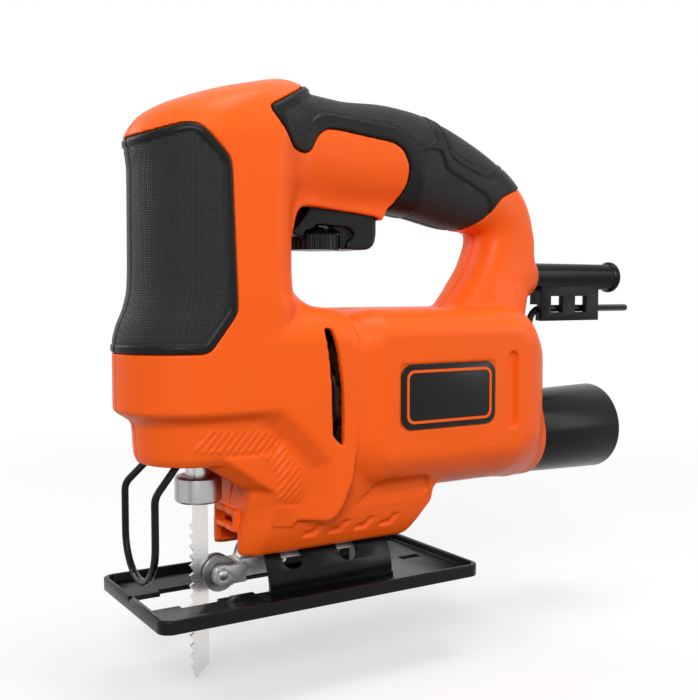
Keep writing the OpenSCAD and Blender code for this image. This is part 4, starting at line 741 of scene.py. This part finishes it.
def room_round(node, x=None, half=None):
    """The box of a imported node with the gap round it; x and half stand in for its own."""
    (x0, x1), (z0, z1) = x or extent(node, X), extent(node, Z)
    half = half or extent(node, Y)[1] + GAP
    return slab(x0 - GAP, x1 + GAP, half, z0 - GAP, z1 + GAP)


def inside_ribs():
    """Plates that carry the drive, the motor and the switch, less the room that these take."""
    plate_x, plate_end = extent("bearing_plate", X)[0], extent("bearing_plate", X)[0] + 4
    stack_x, stack_end = extent("field_stack", X)
    bearing_x, bearing_end = extent("rear_bearing", X)
    switch_x, switch_end = extent("switch_body", X)
    # Beds of the two bushes, and carriers before and behind the bearing plate
    plates = [slab(-40, 12, FAR, low + 1.5, high - 1.5) for low, high in BUSHES]
    plates += [slab(plate_x - 1.9, plate_x - GAP, FAR, 54, 62), slab(plate_end + GAP, 26.6, FAR, 50, 116)]
    # Carriers of the field stack and of the brush plate
    plates += [slab(x, x + 2.5, FAR, 30, 120) for x in (stack_x + 3, stack_end - 5.5)]
    plates += [slab(x, x + 2.2, FAR, 30, 120) for x in (113.4, 118.5)]
    # Carrier of the rear bearing, web over the saddle, carriers of the switch
    plates += [slab(bearing_x + 1, bearing_end - 1, FAR, 36, 100), slab(17, 92, FAR, 27, 29.4)]
    plates += [slab(x, x + 2.2, FAR, 156, 206) for x in (switch_x + 6, switch_end - 8)]
    # Seat of the saddle, bosses of the bevel screws, sockets of the finger guard, bed of the cord clamp
    plates += [slab(23.5 + 9.9 * i, 26.1 + 9.9 * i, FAR, 17, 29) for i in range(6)]
    plates += [rod_z(x, 17, 36, 7) for x in NUTS_X]
    plates += [slab(-19, -3.5, 18.5, HEAD_FOOT, 63.8, 8.5), slab(141, 149, FAR, 112.8, 120.8)]
    plates += [rod_y(x, z, -9, FAR, 4) for x, z, _ in SCREWS]
    # Bushes, plunger and yoke
    room = [rod_z(0, low - GAP, high + GAP, 9 + GAP) for low, high in BUSHES]
    room += [rod_z(0, 40, 156, 6), slab(-9, 10, 17.5, 81, 121)]
    # Gear, pinion, bearing plate with its bearing
    room += [rod_x(7, plate_x, GEAR_Z, 22.3), rod_x(7, plate_x, MOTOR_Z, 10)]
    room += [room_round("bearing_plate", (plate_x, plate_end)), rod_x(plate_x, 33.5, MOTOR_Z, 13.7)]
    # Fan, stack, coils, commutator, brush plate and holders
    room += [rod_x(29.5, stack_x, MOTOR_Z, 25), room_round("field_stack", half=26)]
    room += [rod_x(46, 103, MOTOR_Z, 28), rod_x(102, bearing_x, MOTOR_Z, 24)]
    room += [room_round("brush_plate", half=26), slab(107, 116.5, 26, MOTOR_Z - 5.3, MOTOR_Z + 5.3)]
    # Rear bearing with the shaft's end, and the switch
    room += [rod_x(bearing_x - GAP, bearing_end + GAP, MOTOR_Z, 9.5 + GAP), rod_x(121, 135, MOTOR_Z, 7)]
    room += [room_round("switch_body")]
    return cut_by(reduce(np.minimum, plates), room)


def cut_by(field, cuts):
    for cut in cuts:
        field = np.maximum(field, -cut)
    return field


def outside_cuts(form):
    """Everything that opens the housing to the outside, the same in both halves."""
    (trigger_x, trigger_end), trigger_half = extent("trigger", X), extent("trigger", Y)[1]
    cuts = [slab(trigger_x - PASS_GAP, trigger_end + PASS_GAP, trigger_half + PASS_GAP, 140, 162)]
    # Blade clamp, and the arched saddle, which turns about a line 4 mm over the shoe's underside
    cuts += [rod_z(0, 30, 58, 10.4)]
    cuts += [np.maximum(np.hypot(GY, GZ - 4) - 17.8, between(GX, 8, 89.5))]
    # Bevel screws and their nuts
    pocket, nut_z = NUT_HALF + NUT_GAP, extent("bevel_nuts", Z)[0]
    cuts += [rod_z(x, 10, 40, 2.8) for x in NUTS_X]
    cuts += [slab(x - pocket, x + pocket, pocket, nut_z - NUT_GAP, 60) for x in NUTS_X]
    # Hollow for the roller's fork, and the window over it
    cuts += [slab(5, 17, 9.5, 10, 26), slab(*WINDOW)]
    # Dust tube, cord sleeve with its collar, and the vent
    cuts += [rod_x(139, GRID_END[0], TUBE_Z, 15.5 + GAP), rod_x(157, 177, SLEEVE_Z, 6.2 + GAP)]
    cuts += [rod_x(149, 160 + GAP, SLEEVE_Z, 8.5 + GAP), np.maximum(outline(VENT, 1), 24 - AY)]
    # Sunk slot at the rear of the barrel
    rear = np.hypot(GX - 131, np.maximum(np.abs(GZ - 76.25) - 13.75, 0)) - 2.5
    return cuts + [np.maximum(rear, -(form + 1.7))]


def right_hand_cuts():
    """The screws' head holes and the lock-on button's hole, only in the right half."""
    cuts = [rod_y(x, z, seat, 60, SCREW_HEAD) for x, z, seat in SCREWS]
    cuts += [rod_y(x, z, -10, seat + 1, SCREW_HOLE) for x, z, seat in SCREWS]
    return cuts + [rod_y(*BUTTON, 0, FAR, 5 + PASS_GAP), rod_y(*BUTTON, 0, 15.2, 7)]


def left_hand_cuts():
    return [rod_y(x, z, -10, 10, SCREW_HOLE) for x, z, _ in SCREWS]


# ------------------------------------------------------------------ fields to meshes


def net_points(field):
    """One point in each cell that the surface passes, and the quads between them."""
    inside = field < 0
    count = np.zeros([n - 1 for n in field.shape], np.int8)
    corners = [(a, b, c) for a in (0, 1) for b in (0, 1) for c in (0, 1)]
    for a, b, c in corners:
        count += inside[a : a + count.shape[0], b : b + count.shape[1], c : c + count.shape[2]]
    mixed = (count > 0) & (count < 8)
    number = np.full(count.shape, -1, np.int32)
    number[mixed] = np.arange(int(mixed.sum()))
    cells = np.argwhere(mixed)
    values = [field[tuple((cells + corner).T)] for corner in corners]
    total, crossings = np.zeros((len(cells), 3)), np.zeros(len(cells))
    for i, first in enumerate(corners):
        for j, second in enumerate(corners):
            if j > i and sum(p != q for p, q in zip(first, second)) == 1:
                crossed = (values[i] < 0) != (values[j] < 0)
                share = values[i] / np.where(crossed, values[i] - values[j], 1)
                point = np.array(first) + share[:, None] * (np.array(second) - np.array(first))
                total += point * crossed[:, None]
                crossings += crossed
    points = cells + total / crossings[:, None]
    quads = []
    for axis in range(3):
        near = np.take(inside, range(field.shape[axis] - 1), axis)
        far = np.take(inside, range(1, field.shape[axis]), axis)
        others = [k for k in range(3) if k != axis]
        edges = np.argwhere(near != far)
        for k in others:
            edges = edges[(edges[:, k] > 0) & (edges[:, k] < field.shape[k] - 1)]
        ring = []
        for da, db in ((1, 1), (0, 1), (0, 0), (1, 0)):
            cell = edges.copy()
            cell[:, others[0]] -= da
            cell[:, others[1]] -= db
            ring.append(number[tuple(cell.T)])
        quad = np.stack(ring, axis=1)
        flip = near[tuple(edges.T)] == (axis == 1)
        quad[flip] = quad[flip][:, ::-1]
        quads.append(quad)
    return points, np.concatenate(quads)


def settle(points, field):
    """Moves the points of a net on to the surface itself, along the field's slope."""
    limit = np.array(field.shape) - 2
    for _ in range(2):
        base = np.clip(points.astype(int), 0, limit)
        t = points - base
        value, slope = np.zeros(len(points)), np.zeros((len(points), 3))
        for corner in np.ndindex(2, 2, 2):
            at = field[tuple((base + corner).T)].astype(float)
            wa, wb, wc = np.where(corner, t, 1 - t).T
            sign = np.where(corner, 1, -1)
            value += at * wa * wb * wc
            slope[:, 0] += at * sign[0] * wb * wc
            slope[:, 1] += at * sign[1] * wa * wc
            slope[:, 2] += at * sign[2] * wa * wb
        size = np.maximum((slope**2).sum(axis=1), 0.05 * CELL**2)
        points = points - np.clip(0.8 * value / size, -0.4, 0.4)[:, None] * slope
    return points


def make_symmetric(mesh):
    """Cuts a mesh at the seam and mirrors the half on the positive side."""
    bm = bmesh.new()
    bm.from_mesh(mesh)
    whole = bm.verts[:] + bm.edges[:] + bm.faces[:]
    seam = {"plane_co": (0, 0, 0), "plane_no": (0, -1, 0)}
    bmesh.ops.bisect_plane(bm, geom=whole, dist=1e-7, clear_outer=True, **seam)
    bmesh.ops.mirror(bm, geom=bm.verts[:] + bm.edges[:] + bm.faces[:], axis="Y", merge_dist=2e-6)
    bmesh.ops.recalc_face_normals(bm, faces=bm.faces)
    bm.to_mesh(mesh)
    bm.free()


def piece_from_field(name, field, side, *materials):
    """Mesh of one sampled shape; side -1 mirrors it across the seam, side 0 keeps both sides."""
    points, quads = net_points(field)
    places = settle(points, field) * CELL + CORNER
    if side:
        places[:, 1] = np.maximum(places[:, 1], 0.05) * side
    if side < 0:
        quads = quads[:, ::-1]
    mesh = bpy.data.meshes.new(name)
    mesh.vertices.add(len(places))
    mesh.vertices.foreach_set("co", (places * MM).ravel())
    mesh.loops.add(quads.size)
    mesh.loops.foreach_set("vertex_index", quads.ravel())
    mesh.polygons.add(len(quads))
    mesh.polygons.foreach_set("loop_start", np.arange(0, quads.size, 4))
    mesh.polygons.foreach_set("loop_total", np.full(len(quads), 4))
    mesh.update(calc_edges=True)
    mesh.validate()
    if not side:
        make_symmetric(mesh)
    shade_smooth(mesh)
    return new_object(name, mesh, *materials)


# ------------------------------------------------------------------ housing and grips


def housing_shell(form, grip_edges):
    """Thin shell with its ribs, seats for the grips and badges, and all that opens both halves."""
    shell = soft_max(form - moulded_details(), -(form + WALL), 0.2)
    shell = np.minimum(shell, np.maximum(inside_ribs(), form + WALL / 2))
    shell = np.minimum(shell, soft_max(slab(*WINDOW_FRAME), -slab(*WINDOW), 0.6))
    for edge in grip_edges:
        shell = np.maximum(shell, -np.maximum(edge - PASS_GAP, -(form + 1.5)))
    (x0, x1), (z0, z1) = BADGE_X, BADGE_Z
    badge = outline([(x0, z0), (x1, z0), (x1, z1), (x0, z1)])
    shell = np.maximum(shell, -np.maximum(badge - GAP, 30.05 - AY))
    shell = cut_by(shell, outside_cuts(form))
    # Fine line where the two halves meet
    return np.maximum(shell + 0.45 * np.exp(-((GY / 0.6) ** 2)), 0.06 - GY)


def grip_field(form, field, panels, grooves):
    """Soft cover between 0.5 mm outside and 1.4 mm under the moulding, with sunk textured panels."""
    rise = 0.5
    for panel in panels:
        rise = rise - 0.45 * step_to(panel, 0.6)
    for line in panels + grooves:
        rise = rise - 0.5 * step_to(np.abs(line) - 0.45, 0.5)
    cover = soft_max(form - rise, field, 0.9) + 0.3 * np.exp(-((GY / 0.7) ** 2))
    return np.maximum(np.maximum(cover, -(form + 1.4)), 0.08 - GY)


def mark_panel(grip, panel):
    """Gives the faces inside a panel the dotted finish."""
    mesh = grip.data
    centres = np.zeros(len(mesh.polygons) * 3)
    mesh.polygons.foreach_get("center", centres)
    cells = ((centres.reshape(-1, 3) / MM - GRID_START) / CELL).round().astype(int)
    i, k = np.clip(cells[:, 0], 0, GX.size - 1), np.clip(cells[:, 2], 0, GZ.size - 1)
    mesh.polygons.foreach_set("material_index", (panel[i, 0, k] < 0.1).astype(np.int32))


def add_housing():
    form = outer_form()
    front_edge, handle_edge = np.maximum(outline(FRONT_GRIP), GX - 18), outline(HANDLE_GRIP)
    shell = housing_shell(form, (front_edge, handle_edge))
    halves = (("left", -1, left_hand_cuts()), ("right", 1, right_hand_cuts()))
    for name, side, cuts in halves:
        half = piece_from_field(f"moulded_half_{name}", cut_by(shell, cuts), side, M["orange_shell"])
        add_piece(half, f"housing_{name}")
    front_panels = [outline(FRONT_GRIP, 2, 3.2)]
    handle_panels = [outline(points) for points in (TOP_PANEL, REAR_PANEL, FINGER_PANEL)]
    for kind, edge, panels, grooves in (
        ("front", front_edge, front_panels, []),
        ("handle", handle_edge, handle_panels, [outline(REAR_EDGE)]),
    ):
        cover = grip_field(form, edge, panels, grooves)
        for name, side, cuts in halves:
            shape = cut_by(cover, cuts) if (kind, name) == ("handle", "right") else cover
            grip = piece_from_field(f"soft_{kind}_{name}", shape, side, M["soft_grip"], M["grip_dots"])
            mark_panel(grip, reduce(np.minimum, panels))
            add_piece(grip, f"{kind}_grip_{name}")


# ------------------------------------------------------------------ trigger, tubes and badge lines


def add_trigger():
    """The trigger with rounded edges, hollowed round its dial."""
    stem_top = extent("trigger", Z)[1] - 0.02
    body = soft_max(outline(TRIGGER), AY - extent("trigger", Y)[1], 1.6)
    body = np.minimum(body, rod_z(69.5, 154, stem_top, 1.9))
    cone = np.hypot(GX - DIAL_X, GY) - (10.25 - 2 * np.clip(GZ - 141.7, 0, 4))
    room = [np.maximum(cone, GZ - 144.3), np.maximum(outline(DIAL_ARCH), 6.5 - AY)]
    room += [rod_z(DIAL_X, 130, 160, 2.15), slab(46, 66.5, 7.2, 148.5, 160)]
    add_piece(piece_from_field("moulded_trigger", cut_by(body, room), 0, M["black_plastic"]), "trigger")


def lathed(name, profile, level, material, count=128):
    """A closed profile of (place, radius) turned round a line along the saw."""
    verts = []
    for i in range(count):
        a = 2 * math.pi * i / count
        verts += [(x * MM, r * MM * math.sin(a), (level + r * math.cos(a)) * MM) for x, r in profile]
    mesh = bpy.data.meshes.new(name)
    mesh.from_pydata(verts, [], grid_faces(count, len(profile)))
    face_outwards(mesh)
    shade_smooth(mesh, 28)
    return new_object(name, mesh, material)


def grid_faces(rings, n):
    """Quads between closed rings of n points, of which the last joins the first."""
    faces = []
    for i in range(rings):
        here, there = i * n, (i + 1) % rings * n
        faces += [(here + j, here + (j + 1) % n, there + (j + 1) % n, there + j) for j in range(n)]
    return faces


def add_tubes():
    tube = [
        (140, 13.5), (140, 15.2), (140.4, 15.5), (160.8, 15.5), (160.8, 18.6), (161.2, 19),
        (205.9, 20.15), (206.5, 20), (206.8, 19.5), (206.8, 18), (206.3, 17.5), (168.8, 17.5),
        (162.8, 13.5),
    ]
    add_piece(lathed("turned_dust_tube", tube, TUBE_Z, M["gloss_black"]), "dust_tube")
    sleeve = [
        (156, 3.6), (156, 8.3), (156.3, 8.5), (160, 8.5), (160, 6.2), (216, 6.2), (216.7, 6.4),
        (217.3, 7), (217.8, 7.35), (218.4, 7.5), (219.2, 7.4), (219.7, 7.1), (220, 6.6), (220, 4.1),
        (219.5, 3.6),
    ]
    add_piece(lathed("turned_cord_sleeve", sleeve, SLEEVE_Z, M["gloss_black"]), "cord_sleeve")


def badge_ring(inset, depth):
    """Closed ring of points inside a badge's edge, with rounded corners."""
    r = 5 - 0.7 * inset
    x0, x1 = BADGE_X[0] + inset + r, BADGE_X[1] - inset - r
    z0, z1 = BADGE_Z[0] + inset + r, BADGE_Z[1] - inset - r
    ring = []
    for turn, (cx, cz) in zip((0, 90, 180, 270), ((x1, z1), (x0, z1), (x0, z0), (x1, z0))):
        for i in range(9):
            a = math.radians(turn + 90 * i / 8)
            ring.append(((cx + r * math.cos(a)) * MM, depth * MM, (cz + r * math.sin(a)) * MM))
    return ring


def add_badge_lines():
    """A plain line moulded on each bare badge plate."""
    for side, name in ((-1, "left"), (1, "right")):
        section = ((2.3, 31.05), (2.3, 31.3), (3.4, 31.3), (3.4, 31.05))
        rings = [badge_ring(inset, side * depth) for inset, depth in section]
        mesh = bpy.data.meshes.new(f"badge_line_{name}")
        mesh.from_pydata(sum(rings, []), [], grid_faces(len(rings), len(rings[0])))
        face_outwards(mesh)
        piece = new_object(f"badge_line_{name}", mesh, M["orange_shell"])
        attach(piece, "housing")


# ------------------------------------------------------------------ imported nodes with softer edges


def softened(name, width):
    """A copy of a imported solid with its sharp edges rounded, which then stands for it."""
    bm = bmesh.new()
    bm.from_mesh(NODES[name].data)
    bmesh.ops.remove_doubles(bm, verts=bm.verts, dist=1e-6)
    bmesh.ops.dissolve_limit(bm, angle_limit=math.radians(0.5), verts=bm.verts, edges=bm.edges)
    limit = math.radians(32)
    sharp = [e for e in bm.edges if len(e.link_faces) == 2 and e.calc_face_angle(0) > limit]
    shape = {"segments": 2, "profile": 0.5, "affect": "EDGES", "clamp_overlap": True}
    bmesh.ops.bevel(bm, geom=sharp, offset=width * MM, **shape)
    mesh = bpy.data.meshes.new(f"rounded_{name}")
    bm.to_mesh(mesh)
    bm.free()
    shade_smooth(mesh, 40)
    return new_object(f"rounded_{name}", mesh, *NODES[name].data.materials)


# Width of the rounding on each piece
SOFTENED = {
    "shoe_plate": 0.5, "bevel_saddle": 0.45, "roller_bracket": 0.7, "key_clip": 0.5, "blade_clamp": 0.25,
    "hex_key": 0.25, "bevel_screws": 0.3, "bevel_nuts": 0.3, "badge_plates": 0.3, "support_roller": 0.25,
    "roller_pin": 0.3, "lock_button": 0.5, "housing_screws": 0.25, "bearing_plate": 0.5,
}


def dress_nodes():
    for name, node in NODES.items():
        node.data.materials.clear()
        node.data.materials.append(M[LOOKS.get(name, SLOTS[name])])
    for name, width in SOFTENED.items():
        add_piece(softened(name, width), name)


bpy.context.scene.view_settings.view_transform = "Standard"
add_camera()
add_floor()
add_light()
dress_nodes()
add_housing()
add_trigger()
add_tubes()
add_badge_lines()
